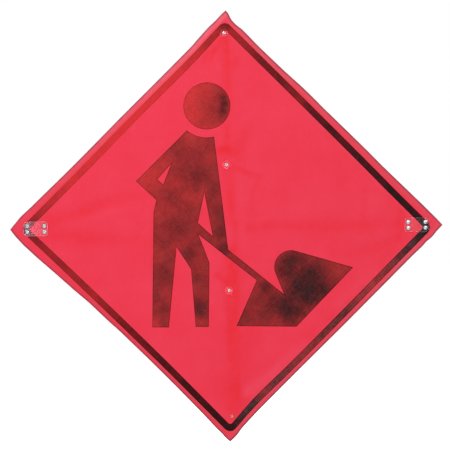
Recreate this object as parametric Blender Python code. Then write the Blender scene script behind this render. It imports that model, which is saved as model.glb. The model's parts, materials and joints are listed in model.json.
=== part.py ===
"""Roll-up traffic sign: a square fabric face, hung by one corner, on two flat fibreglass ribs.

The face is riveted to the vertical rib. The cross rib turns on a bolt behind the vertical rib, and
its ends swing into clear pockets that are riveted behind the left and right corners of the face.

Metres, +Z up. The printed side of the face looks towards -Y, with +X on a reader's right.
The origin is the centre of the vertical rib's bottom end.
"""

import math

import bmesh
import bpy

# Gaps that neighbouring pieces keep
SEAT_GAP = 0.0003
HOLE_CLEARANCE = 0.0003
INK_GAP = 0.0002

# Face
SIGN_SIDE = 0.9144
FABRIC_THICKNESS = 0.0007
HEM_WIDTH = 0.0127
HEM_THICKNESS = 0.0007
RIDGE_MARGIN = 0.0012
FLAT_CORNER_MARGIN = 0.030

# Ribs
RIB_WIDTH = 0.03175
RIB_END_RADIUS = 0.006
RIB_EDGE_ROUNDING = 0.0006
VERTICAL_RIB_THICKNESS = 0.009525
VERTICAL_RIB_HEM_CLEARANCE = 0.0090
CROSS_RIB_THICKNESS = 0.0047625
CROSS_RIB_END_CLEARANCE = 0.0023

# Pivot through both ribs
PIVOT_RADIUS = 0.003175
PIVOT_HEAD_RADIUS = 0.0063
PIVOT_HEAD_RIM = 0.0004
PIVOT_HEAD_ANGLE = math.radians(41)
PIVOT_SOCKET_RADIUS = 0.0023
PIVOT_SOCKET_DEPTH = 0.0018
PIVOT_END_LENGTH = 0.0015
PIVOT_END_CHAMFER = 0.0005
SPACER_RADIUS = 0.0095
SPACER_THICKNESS = 0.0040
PIVOT_WASHER_RADIUS = 0.0080
PIVOT_WASHER_THICKNESS = 0.0016
NUT_ACROSS_FLATS = 0.0111
NUT_HEX_HEIGHT = 0.0056
NUT_COLLAR_HEIGHT = 0.0022
NUT_COLLAR_RADIUS = 0.0048
NUT_CHAMFER = 0.0005

# Blind rivets
RIVET_RADIUS = 0.00238
RIVET_WALL = 0.00098
RIVET_HEAD_OVERHANG = 0.00242
CORNER_HEAD_OVERHANG = 0.00392
RIVET_HEAD_HEIGHT = 0.00160
RIVET_HEAD_RIM = 0.00040
RIVET_BULB_SPREAD = 0.00112
RIVET_BULB_HEIGHT = 0.00200
RIVET_BULB_ROUNDING = 0.00060
MANDREL_CLEARANCE = 0.00020
MANDREL_RECESS = 0.00050
MANDREL_TAIL = 0.00020
MANDREL_CHAMFER = 0.00020
BRASS_HEAD_OVERHANG = 0.00310
TAIL_CLEARANCE = 0.00050

# Rivets along the vertical rib: how far right of its middle each one sits, how far the end ones are
# from the tips, and how far the others are from the sign's centre
RIB_RIVET_OFFSETS = {"top": -0.0039, "upper": 0.0000, "lower": 0.0030, "bottom": 0.0072}
TOP_RIVET_TIP_DISTANCE = 0.0668
UPPER_RIVET_HEIGHT = 0.1856
LOWER_RIVET_DEPTH = 0.1904
BOTTOM_RIVET_TIP_DISTANCE = 0.0803
CLEAR_WASHERS = ("top", "upper", "lower")
CLEAR_WASHER_RADIUS = 0.0127
CLEAR_WASHER_THICKNESS = 0.0012
CLEAR_WASHER_ROUNDING = 0.0004
BACKING_WASHER_RADIUS = 0.0060
BACKING_WASHER_THICKNESS = 0.0008

# Clear plate on the front of each side corner, and the pocket behind it
PLATE_LENGTH = 0.0730
PLATE_HEIGHT = 0.0430
PLATE_THICKNESS = 0.0015
PLATE_OUTER_RADIUS = 0.0130
PLATE_INNER_RADIUS = 0.0080
PLATE_EDGE_ROUNDING = 0.0004
PLATE_HEM_CLEARANCE = 0.0024
PLATES_LEFT_SHIFT = 0.0033
PLATE_DIMPLE_RADIUS = 0.0065
PLATE_DIMPLE_DEPTH = 0.0003
CORNER_RIVET_END_MARGIN = 0.0108
CORNER_RIVET_SPACING = 0.0174
POCKET_WALL = 0.0012
POCKET_SIDE_CLEARANCE = 0.0005
POCKET_BACK_CLEARANCE = 0.0005
POCKET_MOUTH = 0.0100
POCKET_ROUNDING = 0.0006
POCKET_WALL_ROUNDING = 0.0020

# How far each edge of the worn face lies outside the true square, as pairs of the share of the way
# along the side and the distance. The sides run clockwise from the left corner.
EDGE_OFFSETS = (
    ((0, 0.0026), (0.07, 0.0064), (0.13, 0.0050), (0.30, 0.0014), (0.55, -0.0002), (0.85, -0.0020), (1, 0)),
    ((0, 0.0022), (0.08, -0.0048), (0.19, -0.0050), (0.45, -0.0016), (1, -0.0009)),
    ((0, 0.0002), (0.25, -0.0015), (0.45, -0.0034), (0.65, -0.0060), (0.85, -0.0070), (1, -0.0013)),
    (
        (0, -0.0041),
        (0.25, -0.0094),
        (0.45, -0.0096),
        (0.60, -0.0050),
        (0.77, 0.0020),
        (0.92, 0.0086),
        (1, 0.0048),
    ),
)

# Printed border: its outer edge, given in the same way, its width and its corners
BORDER_OFFSETS = (
    ((0, -0.0170), (0.3, -0.0192), (0.55, -0.0191), (0.82, -0.0222), (0.92, -0.0206), (1, -0.0180)),
    ((0, -0.0205), (0.3, -0.0214), (0.5, -0.0222), (0.7, -0.0236), (0.82, -0.0254), (1, -0.0260)),
    ((0, -0.0153), (0.5, -0.0170), (0.7, -0.0186), (0.87, -0.0222), (1, -0.0160)),
    ((0, -0.0195), (0.14, -0.0212), (0.3, -0.0227), (0.6, -0.0215), (0.87, -0.0181), (1, -0.0158)),
)
BORDER_WIDTH = 0.0200
BORDER_OUTER_RADIUS = 0.0250
BORDER_INNER_RADIUS = 0.0100
INK_THICKNESS = 0.0002

# Printed worker, for a sign of the picture's own side. Every point is measured right of and above the
# sign's centre, and the picture is as much larger or smaller as the sign is.
PICTURE_SIGN_SIDE = 0.9144
HEAD_CENTRE = (-0.0575, 0.3625)
HEAD_RADIUS = 0.0704
NECK_RADIUS = 0.0945
NECK_START = math.radians(230.0)
NECK_END = math.radians(282.5)
HEAP_CENTRE = (0.1892, -0.1220)
HEAP_RADIUS = 0.0500
HEAP_START = math.radians(205.0)
HEAP_END = math.radians(75.0)
FIGURE_BEFORE_NECK = ((-0.2725, 0.1400),)
FIGURE_HAND_TO_HEAP = ((0.0017, -0.0681), (0.1672, -0.2030), (0.1512, -0.1620))
FIGURE_HEAP_TO_ELBOW = (
    (0.3755, -0.1252),
    (0.2036, -0.3011),
    (0.0244, -0.2968),
    (0.0861, -0.1607),
    (-0.0863, -0.0225),
    (-0.0548, -0.1067),
    (-0.0590, -0.2983),
    (-0.0980, -0.2985),
    (-0.1099, -0.1256),
    (-0.1529, -0.0583),
    (-0.1783, -0.2991),
    (-0.2278, -0.2986),
    (-0.2208, 0.0447),
    (-0.2117, 0.0826),
)
ELBOW_OPENING = ((-0.1664, 0.1904), (-0.2080, 0.1444), (-0.1908, 0.1292))
ARM_OPENING = ((-0.0678, 0.1033), (-0.0441, -0.0274), (-0.0883, 0.0129))

# Fineness of the round shapes
SIDE_STEPS = 16
CORNER_STEPS = 6
HOLE_STEPS = 12
RIVET_STEPS = 14
DOME_STEPS = 3
DISC_STEPS = 48
WASHER_STEPS = 28
HEXAGON_SIDES = 6
ROUNDING_STEPS = 2
CHAMFER_STEPS = 1
CREASE_SNAP = 0.00003
SHARP_ANGLE = math.radians(32)

# Sizes that follow from the ones above
TIP = SIGN_SIDE / math.sqrt(2)
HEM_TIP = TIP - HEM_WIDTH * math.sqrt(2)
CENTRE_HEIGHT = HEM_TIP - VERTICAL_RIB_HEM_CLEARANCE * math.sqrt(2) - RIB_WIDTH / 2
RIVET_HOLE_RADIUS = RIVET_RADIUS + HOLE_CLEARANCE
RIVET_BORE_RADIUS = RIVET_RADIUS - RIVET_WALL
RIVET_HEAD_RADIUS = RIVET_RADIUS + RIVET_HEAD_OVERHANG
RIVET_BULB_RADIUS = RIVET_RADIUS + RIVET_BULB_SPREAD
BRASS_HEAD_RADIUS = RIVET_RADIUS + BRASS_HEAD_OVERHANG
CORNER_HEAD_RADIUS = RIVET_RADIUS + CORNER_HEAD_OVERHANG
MANDREL_RADIUS = RIVET_BORE_RADIUS - MANDREL_CLEARANCE
RIVET_TAIL = RIVET_BULB_HEIGHT + MANDREL_TAIL
RIB_RIVET_HEIGHTS = {
    "top": TIP - TOP_RIVET_TIP_DISTANCE,
    "upper": UPPER_RIVET_HEIGHT,
    "lower": -LOWER_RIVET_DEPTH,
    "bottom": BOTTOM_RIVET_TIP_DISTANCE - TIP,
}
RIB_RIVETS = {name: (RIB_RIVET_OFFSETS[name], height) for name, height in RIB_RIVET_HEIGHTS.items()}

# A corner plate's rounded corners, which reach furthest towards the hem, keep their clearance to it.
# Both plates sit a little to the left, so the left one is the nearer to its tip.
PLATE_CORNER_CUT = PLATE_OUTER_RADIUS * (2 - math.sqrt(2))
PLATE_REACH = PLATE_LENGTH / 2 + PLATE_HEIGHT / 2 - PLATE_CORNER_CUT
LEFT_PLATE_CENTRE = PLATE_HEM_CLEARANCE * math.sqrt(2) + PLATE_REACH - HEM_TIP
RIGHT_PLATE_CENTRE = -LEFT_PLATE_CENTRE - 2 * PLATES_LEFT_SHIFT
PLATE_CENTRES = {"left": LEFT_PLATE_CENTRE, "right": RIGHT_PLATE_CENTRE}
POCKET_END = PLATE_LENGTH / 2 - POCKET_WALL
CROSS_RIB_END_REACH = POCKET_END - CROSS_RIB_END_CLEARANCE
CROSS_RIB_HALF_LENGTH = (RIGHT_PLATE_CENTRE - LEFT_PLATE_CENTRE) / 2 + CROSS_RIB_END_REACH

# Depths, from the front of the vertical rib to the back of the nut
RIDGE_BACK = -VERTICAL_RIB_THICKNESS / 2 - SEAT_GAP
RIB_BACK = VERTICAL_RIB_THICKNESS / 2
SPACER_FRONT = RIB_BACK + SEAT_GAP
CROSS_FRONT = SPACER_FRONT + SPACER_THICKNESS + SEAT_GAP
CROSS_BACK = CROSS_FRONT + CROSS_RIB_THICKNESS
PIVOT_WASHER_FRONT = CROSS_BACK + SEAT_GAP
NUT_FRONT = PIVOT_WASHER_FRONT + PIVOT_WASHER_THICKNESS + SEAT_GAP
NUT_BACK = NUT_FRONT + NUT_HEX_HEIGHT + NUT_COLLAR_HEIGHT

# Depths at a side corner, from the back of the fabric there
POCKET_FLOOR = SEAT_GAP + POCKET_WALL
CORNER_BACK = CROSS_FRONT - TAIL_CLEARANCE - RIVET_TAIL - SEAT_GAP - POCKET_FLOOR
POCKET_ROOF = CROSS_BACK + POCKET_BACK_CLEARANCE - CORNER_BACK
POCKET_BACK = POCKET_ROOF + POCKET_WALL
INK_BACK = -FABRIC_THICKNESS - INK_GAP
INK_FRONT = INK_BACK - INK_THICKNESS
COVER_BACK = INK_FRONT - SEAT_GAP

# Where the flat ridge of the face ends, and where its flat side corners start
RIDGE_EDGE = RIB_WIDTH / 2 + RIDGE_MARGIN
FLAT_CORNER = RIGHT_PLATE_CENTRE - PLATE_LENGTH / 2 - FLAT_CORNER_MARGIN

MATERIALS = {
    "face_fabric": ((0.85, 0.055, 0.095, 1), 0.55, 0.0),
    "black_ink": ((0.030, 0.012, 0.012, 1), 0.60, 0.0),
    "fibreglass": ((0.62, 0.58, 0.42, 1), 0.50, 0.0),
    "clear_plastic": ((0.80, 0.84, 0.84, 0.35), 0.12, 0.0),
    "rivet_aluminium": ((0.75, 0.76, 0.78, 1), 0.28, 1.0),
    "rivet_brass": ((0.72, 0.52, 0.24, 1), 0.35, 1.0),
    "mandrel_steel": ((0.25, 0.25, 0.26, 1), 0.40, 1.0),
    "zinc_steel": ((0.60, 0.61, 0.63, 1), 0.35, 1.0),
    "white_nylon": ((0.80, 0.79, 0.75, 1), 0.50, 0.0),
}


def clear_scene():
    """Remove every object that is already in the scene."""
    for obj in list(bpy.data.objects):
        bpy.data.objects.remove(obj, do_unlink=True)


def material(name):
    """Return the named Principled material, made on first use."""
    found = bpy.data.materials.get(name)
    if found:
        return found
    colour, roughness, metallic = MATERIALS[name]
    made = bpy.data.materials.new(name)
    made.use_nodes = True
    shader = made.node_tree.nodes["Principled BSDF"]
    shader.inputs["Base Color"].default_value = colour
    shader.inputs["Alpha"].default_value = colour[3]
    shader.inputs["Roughness"].default_value = roughness
    shader.inputs["Metallic"].default_value = metallic
    made.diffuse_color = colour
    return made


# Outlines, as lists of points right of and above a centre


def arc(centre, radius, start, end, steps):
    """Points along an arc, both ends included."""
    points = []
    for step in range(steps + 1):
        angle = start + (end - start) * step / steps
        points.append((centre[0] + radius * math.cos(angle), centre[1] + radius * math.sin(angle)))
    return points


def circle(centre, radius, steps):
    """Points round a circle."""
    return arc(centre, radius, 0, 2 * math.pi, steps)[:-1]


def blend_points(first, second, share):
    """The point that lies the given share of the way between two."""
    return tuple(a + (b - a) * share for a, b in zip(first, second))


def rounded_outline(corners, radii):
    """A right-angled outline with an arc at each corner."""
    points = []
    for index, corner in enumerate(corners):
        radius = radii[index]
        before = corners[index - 1]
        after = corners[(index + 1) % len(corners)]
        start = blend_points(corner, before, radius / math.dist(corner, before))
        end = blend_points(corner, after, radius / math.dist(corner, after))
        points += corner_arc(start, corner, end)
    return points


def corner_arc(start, corner, end):
    """Points of a rounded corner, from start to end, as a cubic curve close to a circle."""
    pull = 4 / 3 * math.tan(math.pi / 8)
    first = blend_points(start, corner, pull)
    second = blend_points(end, corner, pull)
    points = []
    for step in range(CORNER_STEPS + 1):
        share = step / CORNER_STEPS
        rest = 1 - share
        weights = (rest**3, 3 * rest**2 * share, 3 * rest * share**2, share**3)
        places = (start, first, second, end)
        points.append(tuple(sum(w * p[axis] for w, p in zip(weights, places)) for axis in (0, 1)))
    return points


def read_offset(pairs, share):
    """Read a smooth curve through (share, offset) pairs."""
    index = 0
    while index < len(pairs) - 2 and share > pairs[index + 1][0]:
        index += 1
    (share_a, value_a), (share_b, value_b) = pairs[index], pairs[index + 1]
    before = pairs[max(index - 1, 0)]
    after = pairs[min(index + 2, len(pairs) - 1)]
    width = share_b - share_a
    slope_a = (value_b - before[1]) / (share_b - before[0]) * width
    slope_b = (after[1] - value_a) / (after[0] - share_a) * width
    t = (share - share_a) / width
    return (
        value_a * (2 * t**3 - 3 * t**2 + 1)
        + slope_a * (t**3 - 2 * t**2 + t)
        + value_b * (3 * t**2 - 2 * t**3)
        + slope_b * (t**3 - t**2)
    )


def face_outline(offsets, inset, corner_radius):
    """The face's square with its sides moved by their offsets, less an inset, clockwise."""
    square = ((-TIP, 0), (0, TIP), (TIP, 0), (0, -TIP))
    half = math.sqrt(0.5)
    normals = ((-half, half), (half, half), (half, -half), (-half, -half))
    corners = []
    for index, corner in enumerate(square):
        before, after = normals[index - 1], normals[index]
        reach_before = offsets[index - 1][-1][1] - inset
        reach_after = offsets[index][0][1] - inset
        x = corner[0] + before[0] * reach_before + after[0] * reach_after
        z = corner[1] + before[1] * reach_before + after[1] * reach_after
        corners.append((x, z))

    def side_point(side, share):
        pairs = offsets[side]
        bow = read_offset(pairs, share) - blend_points(pairs[0], pairs[-1], share)[1]
        place = blend_points(corners[side], corners[(side + 1) % 4], share)
        return (place[0] + normals[side][0] * bow, place[1] + normals[side][1] * bow)

    trim = corner_radius / SIGN_SIDE
    points = []
    for side in range(4):
        if corner_radius:
            points += corner_arc(side_point(side - 1, 1 - trim), corners[side], side_point(side, trim))
        else:
            points.append(corners[side])
        for step in range(1, SIDE_STEPS):
            points.append(side_point(side, trim + (1 - 2 * trim) * step / SIDE_STEPS))
    return points


# Closed meshes


def ring(bm, outline, depth):
    """Add an outline's vertices and edges at a depth, and return both."""
    verts = [bm.verts.new((x, depth, z)) for x, z in outline]
    edges = [bm.edges.new(pair) for pair in zip(verts, verts[1:] + verts[:1])]
    return verts, edges


def cap(bm, rings):
    """Fill the flat region between an outer ring and the rings of its holes."""
    edges = [edge for _, ring_edges in rings for edge in ring_edges]
    bmesh.ops.triangle_fill(bm, use_beauty=True, edges=edges, normal=(0, -1, 0))


def wall(bm, first, second):
    """Join two rings of as many points with quads."""
    low, high = first[0], second[0]
    for index, vert in enumerate(low):
        after = (index + 1) % len(low)
        bm.faces.new((vert, low[after], high[after], high[index]))


def add_plate(bm, outline, holes, front, back):
    """Add a flat plate with through holes between two depths."""
    fronts = [ring(bm, points, front) for points in [outline, *holes]]
    backs = [ring(bm, points, back) for points in [outline, *holes]]
    cap(bm, fronts)
    cap(bm, backs)
    for first, second in zip(fronts, backs):
        wall(bm, first, second)


def add_turned(bm, profile, centre, steps, closed):
    """Add a profile of (radius, depth) points turned round a line along Y."""
    loops = []
    for radius, depth in profile:
        if radius:
            points = circle(centre, radius, steps)
            loops.append([bm.verts.new((x, depth, z)) for x, z in points])
        else:
            loops.append([bm.verts.new((centre[0], depth, centre[1]))])
    pairs = list(zip(loops, loops[1:]))
    if closed:
        pairs.append((loops[-1], loops[0]))
    for first, second in pairs:
        for index in range(steps):
            after = (index + 1) % steps
            corners = [first[index % len(first)], first[after % len(first)]]
            corners += [second[after % len(second)], second[index % len(second)]]
            bm.faces.new(list(dict.fromkeys(corners)))


def sheet_back(x):
    """Depth of the fabric's back: the ridge over the vertical rib, the slopes, the flat corners."""
    share = (abs(x) - RIDGE_EDGE) / (FLAT_CORNER - RIDGE_EDGE)
    return RIDGE_BACK + (CORNER_BACK - RIDGE_BACK) * min(max(share, 0), 1)


def drape(bm):
    """Crease a flat layer of the face at the edges of its slopes and lay it over the ribs."""
    for crease in (-FLAT_CORNER, -RIDGE_EDGE, RIDGE_EDGE, FLAT_CORNER):
        bmesh.ops.bisect_plane(
            bm,
            geom=bm.verts[:] + bm.edges[:] + bm.faces[:],
            dist=CREASE_SNAP,
            plane_co=(crease, 0, 0),
            plane_no=(1, 0, 0),
        )
    for vert in bm.verts:
        vert.co.y += sheet_back(vert.co.x)


def add_object(name, bm, material_name, parent, place=(0, 0, 0)):
    """Turn a mesh into a named object with its own material, placed on its parent."""
    bmesh.ops.recalc_face_normals(bm, faces=bm.faces)
    mesh = bpy.data.meshes.new(name)
    bm.to_mesh(mesh)
    bm.free()
    obj = bpy.data.objects.new(name, mesh)
    bpy.context.collection.objects.link(obj)
    obj.parent = parent
    obj.location = place
    if material_name:
        mesh.materials.append(material(material_name))
    return obj


def add_round_object(name, bm, material_name, parent, place=(0, 0, 0)):
    """Add an object whose round faces are shaded smooth up to its edges."""
    obj = add_object(name, bm, material_name, parent, place)
    obj.data.shade_smooth()
    obj.data.set_sharp_from_angle(angle=SHARP_ANGLE)
    return obj


def add_tool(name, bm, parent):
    """Add a cutter or a shape to join on, which is no piece by itself."""
    obj = add_object(name, bm, None, parent)
    obj.hide_render = True
    obj.display_type = "WIRE"
    return obj


def combine(obj, tool, operation):
    """Cut a tool from an object or join it on."""
    step = obj.modifiers.new(tool.name, "BOOLEAN")
    step.operation = operation
    step.solver = "EXACT"
    step.object = tool


def round_edges(obj, width, segments):
    """Break an object's sharp edges by a small width."""
    step = obj.modifiers.new("rounding", "BEVEL")
    step.width = width
    step.segments = segments
    step.limit_method = "ANGLE"
    step.angle_limit = SHARP_ANGLE


# Where the rivets go


def corner_rivet_places():
    """The four rivets of a corner plate, from the plate's centre."""
    half_x, half_z = PLATE_LENGTH / 2 - CORNER_RIVET_END_MARGIN, CORNER_RIVET_SPACING / 2
    return [(x, z) for x in (-half_x, half_x) for z in (-half_z, half_z)]


def face_holes():
    """The holes that the rivets make in the fabric."""
    places = list(RIB_RIVETS.values())
    for plate_centre in PLATE_CENTRES.values():
        places += [(plate_centre + x, z) for x, z in corner_rivet_places()]
    return [circle(place, RIVET_HOLE_RADIUS, HOLE_STEPS) for place in places]


# The face and its print


def make_face(centre):
    """Fabric with its edges folded back into a hem."""
    outer = face_outline(EDGE_OFFSETS, 0, 0)
    inner = face_outline(EDGE_OFFSETS, HEM_WIDTH, 0)
    holes = face_holes()
    bm = bmesh.new()
    fronts = [ring(bm, points, -FABRIC_THICKNESS) for points in [outer, *holes]]
    backs = [ring(bm, points, 0) for points in [inner, *holes]]
    hem = [ring(bm, points, HEM_THICKNESS) for points in (outer, inner)]
    cap(bm, fronts)
    cap(bm, backs)
    cap(bm, hem)
    wall(bm, fronts[0], hem[0])
    wall(bm, backs[0], hem[1])
    for front, back in zip(fronts[1:], backs[1:]):
        wall(bm, front, back)
    drape(bm)
    return add_object("sign_fabric", bm, "face_fabric", centre)


def make_border(centre):
    """Printed band inside the edges of the face, with the corner rivets' holes where they meet it."""
    outer = face_outline(BORDER_OFFSETS, 0, BORDER_OUTER_RADIUS)
    inner = face_outline(BORDER_OFFSETS, BORDER_WIDTH, BORDER_INNER_RADIUS)
    bm = bmesh.new()
    add_plate(bm, outer, [inner], INK_FRONT, INK_BACK)
    drape(bm)
    border = add_object("border_print", bm, "black_ink", centre)
    cutter = bmesh.new()
    for plate_centre in PLATE_CENTRES.values():
        for x, z in corner_rivet_places():
            place = (plate_centre + x, z)
            hole = circle(place, RIVET_HOLE_RADIUS, HOLE_STEPS)
            depth = sheet_back(place[0])
            add_plate(cutter, hole, [], depth + INK_FRONT - INK_GAP, depth + INK_BACK + INK_GAP)
    combine(border, add_tool("border_hole_cutter", cutter, centre), "DIFFERENCE")
    return border


def picture_points(points):
    """Points of the picture at the size that it has on this sign."""
    scale = SIGN_SIDE / PICTURE_SIGN_SIDE
    return [(x * scale, z * scale) for x, z in points]


def make_worker(centre):
    """Printed worker: a separate head over one joined shape of body, shovel and heap."""
    disc = picture_points(circle(HEAD_CENTRE, HEAD_RADIUS, DISC_STEPS))
    bm = bmesh.new()
    add_plate(bm, disc, [], INK_FRONT, INK_BACK)
    drape(bm)
    head = add_round_object("worker_head_print", bm, "black_ink", centre)
    outline = list(FIGURE_BEFORE_NECK)
    outline += arc(HEAD_CENTRE, NECK_RADIUS, NECK_START, NECK_END, 2 * CORNER_STEPS)
    outline += FIGURE_HAND_TO_HEAP
    outline += arc(HEAP_CENTRE, HEAP_RADIUS, HEAP_START, HEAP_END, 2 * CORNER_STEPS)
    outline += FIGURE_HEAP_TO_ELBOW
    openings = [picture_points(ELBOW_OPENING), picture_points(ARM_OPENING)]
    bm = bmesh.new()
    add_plate(bm, picture_points(outline), openings, INK_FRONT, INK_BACK)
    drape(bm)
    body = add_object("worker_body_print", bm, "black_ink", centre)
    return head, body


# Ribs


def rib_outline(half_length, radius, upright):
    """A flat bar's outline, along Z where upright and along X otherwise."""
    half = RIB_WIDTH / 2
    reach_x, reach_z = (half, half_length) if upright else (half_length, half)
    corners = ((-reach_x, -reach_z), (-reach_x, reach_z), (reach_x, reach_z), (reach_x, -reach_z))
    if not radius:
        return list(corners)
    return rounded_outline(corners, (radius,) * 4)


def head_cone_length():
    """Depth of the cone under the pivot bolt's flat head."""
    return (PIVOT_HEAD_RADIUS - PIVOT_RADIUS) / math.tan(PIVOT_HEAD_ANGLE)


def make_vertical_rib(centre):
    """Flat bar behind the face, square at both ends, with the pivot's countersink and rivet holes."""
    bm = bmesh.new()
    add_plate(bm, rib_outline(CENTRE_HEIGHT, 0, True), [], -RIB_BACK, RIB_BACK)
    rib = add_object("vertical_rib", bm, "fibreglass", centre)
    round_edges(rib, RIB_EDGE_ROUNDING, ROUNDING_STEPS)
    cutter = bmesh.new()
    front, back = -RIB_BACK - RIB_EDGE_ROUNDING, RIB_BACK + RIB_EDGE_ROUNDING
    shaft = PIVOT_RADIUS + HOLE_CLEARANCE
    head = PIVOT_HEAD_RADIUS + HOLE_CLEARANCE
    head_seat = -RIB_BACK + SEAT_GAP + PIVOT_HEAD_RIM
    profile = (
        (0, front),
        (head, front),
        (head, head_seat),
        (shaft, head_seat + head_cone_length()),
        (shaft, back),
        (0, back),
    )
    add_turned(cutter, profile, (0, 0), WASHER_STEPS, False)
    for place in RIB_RIVETS.values():
        add_plate(cutter, circle(place, RIVET_HOLE_RADIUS, HOLE_STEPS), [], front, back)
    combine(rib, add_tool("vertical_rib_cutter", cutter, centre), "DIFFERENCE")
    return rib


def make_cross_rib(centre):
    """Thinner bar behind the vertical rib, with round-cornered ends. Its origin is on the pivot."""
    bm = bmesh.new()
    outline = rib_outline(CROSS_RIB_HALF_LENGTH, RIB_END_RADIUS, False)
    outline = [(x - PLATES_LEFT_SHIFT, z) for x, z in outline]
    add_plate(bm, outline, [], CROSS_FRONT, CROSS_BACK)
    rib = add_object("cross_rib", bm, "fibreglass", centre)
    round_edges(rib, RIB_EDGE_ROUNDING, ROUNDING_STEPS)
    cutter = bmesh.new()
    hole = circle((0, 0), PIVOT_RADIUS + HOLE_CLEARANCE, WASHER_STEPS)
    add_plate(cutter, hole, [], CROSS_FRONT - SEAT_GAP, CROSS_BACK + SEAT_GAP)
    combine(rib, add_tool("cross_rib_cutter", cutter, centre), "DIFFERENCE")
    return rib


# Pivot


def make_pivot(centre):
    """Flat-headed bolt, spacer between the ribs, washer and lock nut."""
    head_front = -RIB_BACK + SEAT_GAP
    head_back = head_front + PIVOT_HEAD_RIM
    end = NUT_BACK + PIVOT_END_LENGTH
    profile = (
        (0, head_front),
        (PIVOT_HEAD_RADIUS, head_front),
        (PIVOT_HEAD_RADIUS, head_back),
        (PIVOT_RADIUS, head_back + head_cone_length()),
        (PIVOT_RADIUS, end - PIVOT_END_CHAMFER),
        (PIVOT_RADIUS - PIVOT_END_CHAMFER, end),
        (0, end),
    )
    bm = bmesh.new()
    add_turned(bm, profile, (0, 0), WASHER_STEPS, False)
    bolt = add_round_object("pivot_bolt", bm, "zinc_steel", centre)
    cutter = bmesh.new()
    socket = circle((0, 0), PIVOT_SOCKET_RADIUS, HEXAGON_SIDES)
    add_plate(cutter, socket, [], head_front - SEAT_GAP, head_front + PIVOT_SOCKET_DEPTH)
    combine(bolt, add_tool("pivot_socket_cutter", cutter, centre), "DIFFERENCE")

    hole = circle((0, 0), PIVOT_RADIUS + HOLE_CLEARANCE, WASHER_STEPS)
    bm = bmesh.new()
    spacer = circle((0, 0), SPACER_RADIUS, WASHER_STEPS)
    add_plate(bm, spacer, [hole], SPACER_FRONT, SPACER_FRONT + SPACER_THICKNESS)
    add_round_object("rib_spacer", bm, "white_nylon", centre)

    bm = bmesh.new()
    washer = circle((0, 0), PIVOT_WASHER_RADIUS, WASHER_STEPS)
    add_plate(bm, washer, [hole], PIVOT_WASHER_FRONT, PIVOT_WASHER_FRONT + PIVOT_WASHER_THICKNESS)
    add_round_object("pivot_washer", bm, "zinc_steel", centre)
    make_lock_nut(centre)


def make_lock_nut(centre):
    """Hexagon with a round collar behind it, bored for the bolt."""
    hex_back = NUT_FRONT + NUT_HEX_HEIGHT
    hexagon = circle((0, 0), NUT_ACROSS_FLATS / math.sqrt(3), HEXAGON_SIDES)
    bm = bmesh.new()
    add_plate(bm, hexagon, [], NUT_FRONT, hex_back)
    nut = add_object("pivot_lock_nut", bm, "zinc_steel", centre)
    round_edges(nut, NUT_CHAMFER, CHAMFER_STEPS)
    bm = bmesh.new()
    profile = (
        (0, hex_back - NUT_CHAMFER),
        (NUT_COLLAR_RADIUS, hex_back - NUT_CHAMFER),
        (NUT_COLLAR_RADIUS, NUT_BACK - NUT_CHAMFER),
        (NUT_COLLAR_RADIUS - NUT_CHAMFER, NUT_BACK),
        (0, NUT_BACK),
    )
    add_turned(bm, profile, (0, 0), WASHER_STEPS, False)
    combine(nut, add_tool("nut_collar", bm, centre), "UNION")
    cutter = bmesh.new()
    hole = circle((0, 0), PIVOT_RADIUS + HOLE_CLEARANCE, WASHER_STEPS)
    add_plate(cutter, hole, [], NUT_FRONT - SEAT_GAP, NUT_BACK + SEAT_GAP)
    combine(nut, add_tool("nut_bore", cutter, centre), "DIFFERENCE")


# Rivets


def make_rivet(name, parent, position, seat, grip_end, head_radius, finish):
    """Make a set blind rivet and what is left of the pin that was pulled through it."""
    bm = bmesh.new()
    add_turned(bm, rivet_profile(seat, grip_end, head_radius), (0, 0), RIVET_STEPS, True)
    add_round_object(name, bm, finish, parent, position)
    bm = bmesh.new()
    add_turned(bm, mandrel_profile(seat, grip_end), (0, 0), RIVET_STEPS, False)
    add_round_object(f"{name}_mandrel", bm, "mandrel_steel", parent, position)


def rivet_profile(seat, grip_end, head_radius):
    """Radius and depth round a rivet: domed head before its seat, bored shank, bulb after the grip."""
    rim = seat - RIVET_HEAD_RIM
    rise = RIVET_HEAD_HEIGHT - RIVET_HEAD_RIM
    profile = []
    last = math.acos(RIVET_BORE_RADIUS / head_radius)
    for step in range(DOME_STEPS, -1, -1):
        angle = last * step / DOME_STEPS
        profile.append((head_radius * math.cos(angle), rim - rise * math.sin(angle)))
    bulb_end = grip_end + RIVET_BULB_HEIGHT
    return profile + [
        (head_radius, seat),
        (RIVET_RADIUS, seat),
        (RIVET_RADIUS, grip_end),
        (RIVET_BULB_RADIUS - RIVET_BULB_ROUNDING, grip_end),
        (RIVET_BULB_RADIUS, grip_end + RIVET_BULB_ROUNDING),
        (RIVET_BULB_RADIUS, bulb_end - RIVET_BULB_ROUNDING),
        (RIVET_BULB_RADIUS - RIVET_BULB_ROUNDING, bulb_end),
        (RIVET_BORE_RADIUS, bulb_end),
    ]


def mandrel_profile(seat, grip_end):
    """Radius and depth along a mandrel, from inside the rivet's head to its tail."""
    front = seat - RIVET_HEAD_HEIGHT + MANDREL_RECESS
    back = grip_end + RIVET_TAIL
    return (
        (0, front),
        (MANDREL_RADIUS - MANDREL_CHAMFER, front),
        (MANDREL_RADIUS, front + MANDREL_CHAMFER),
        (MANDREL_RADIUS, back - MANDREL_CHAMFER),
        (MANDREL_RADIUS - MANDREL_CHAMFER, back),
        (0, back),
    )


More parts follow.
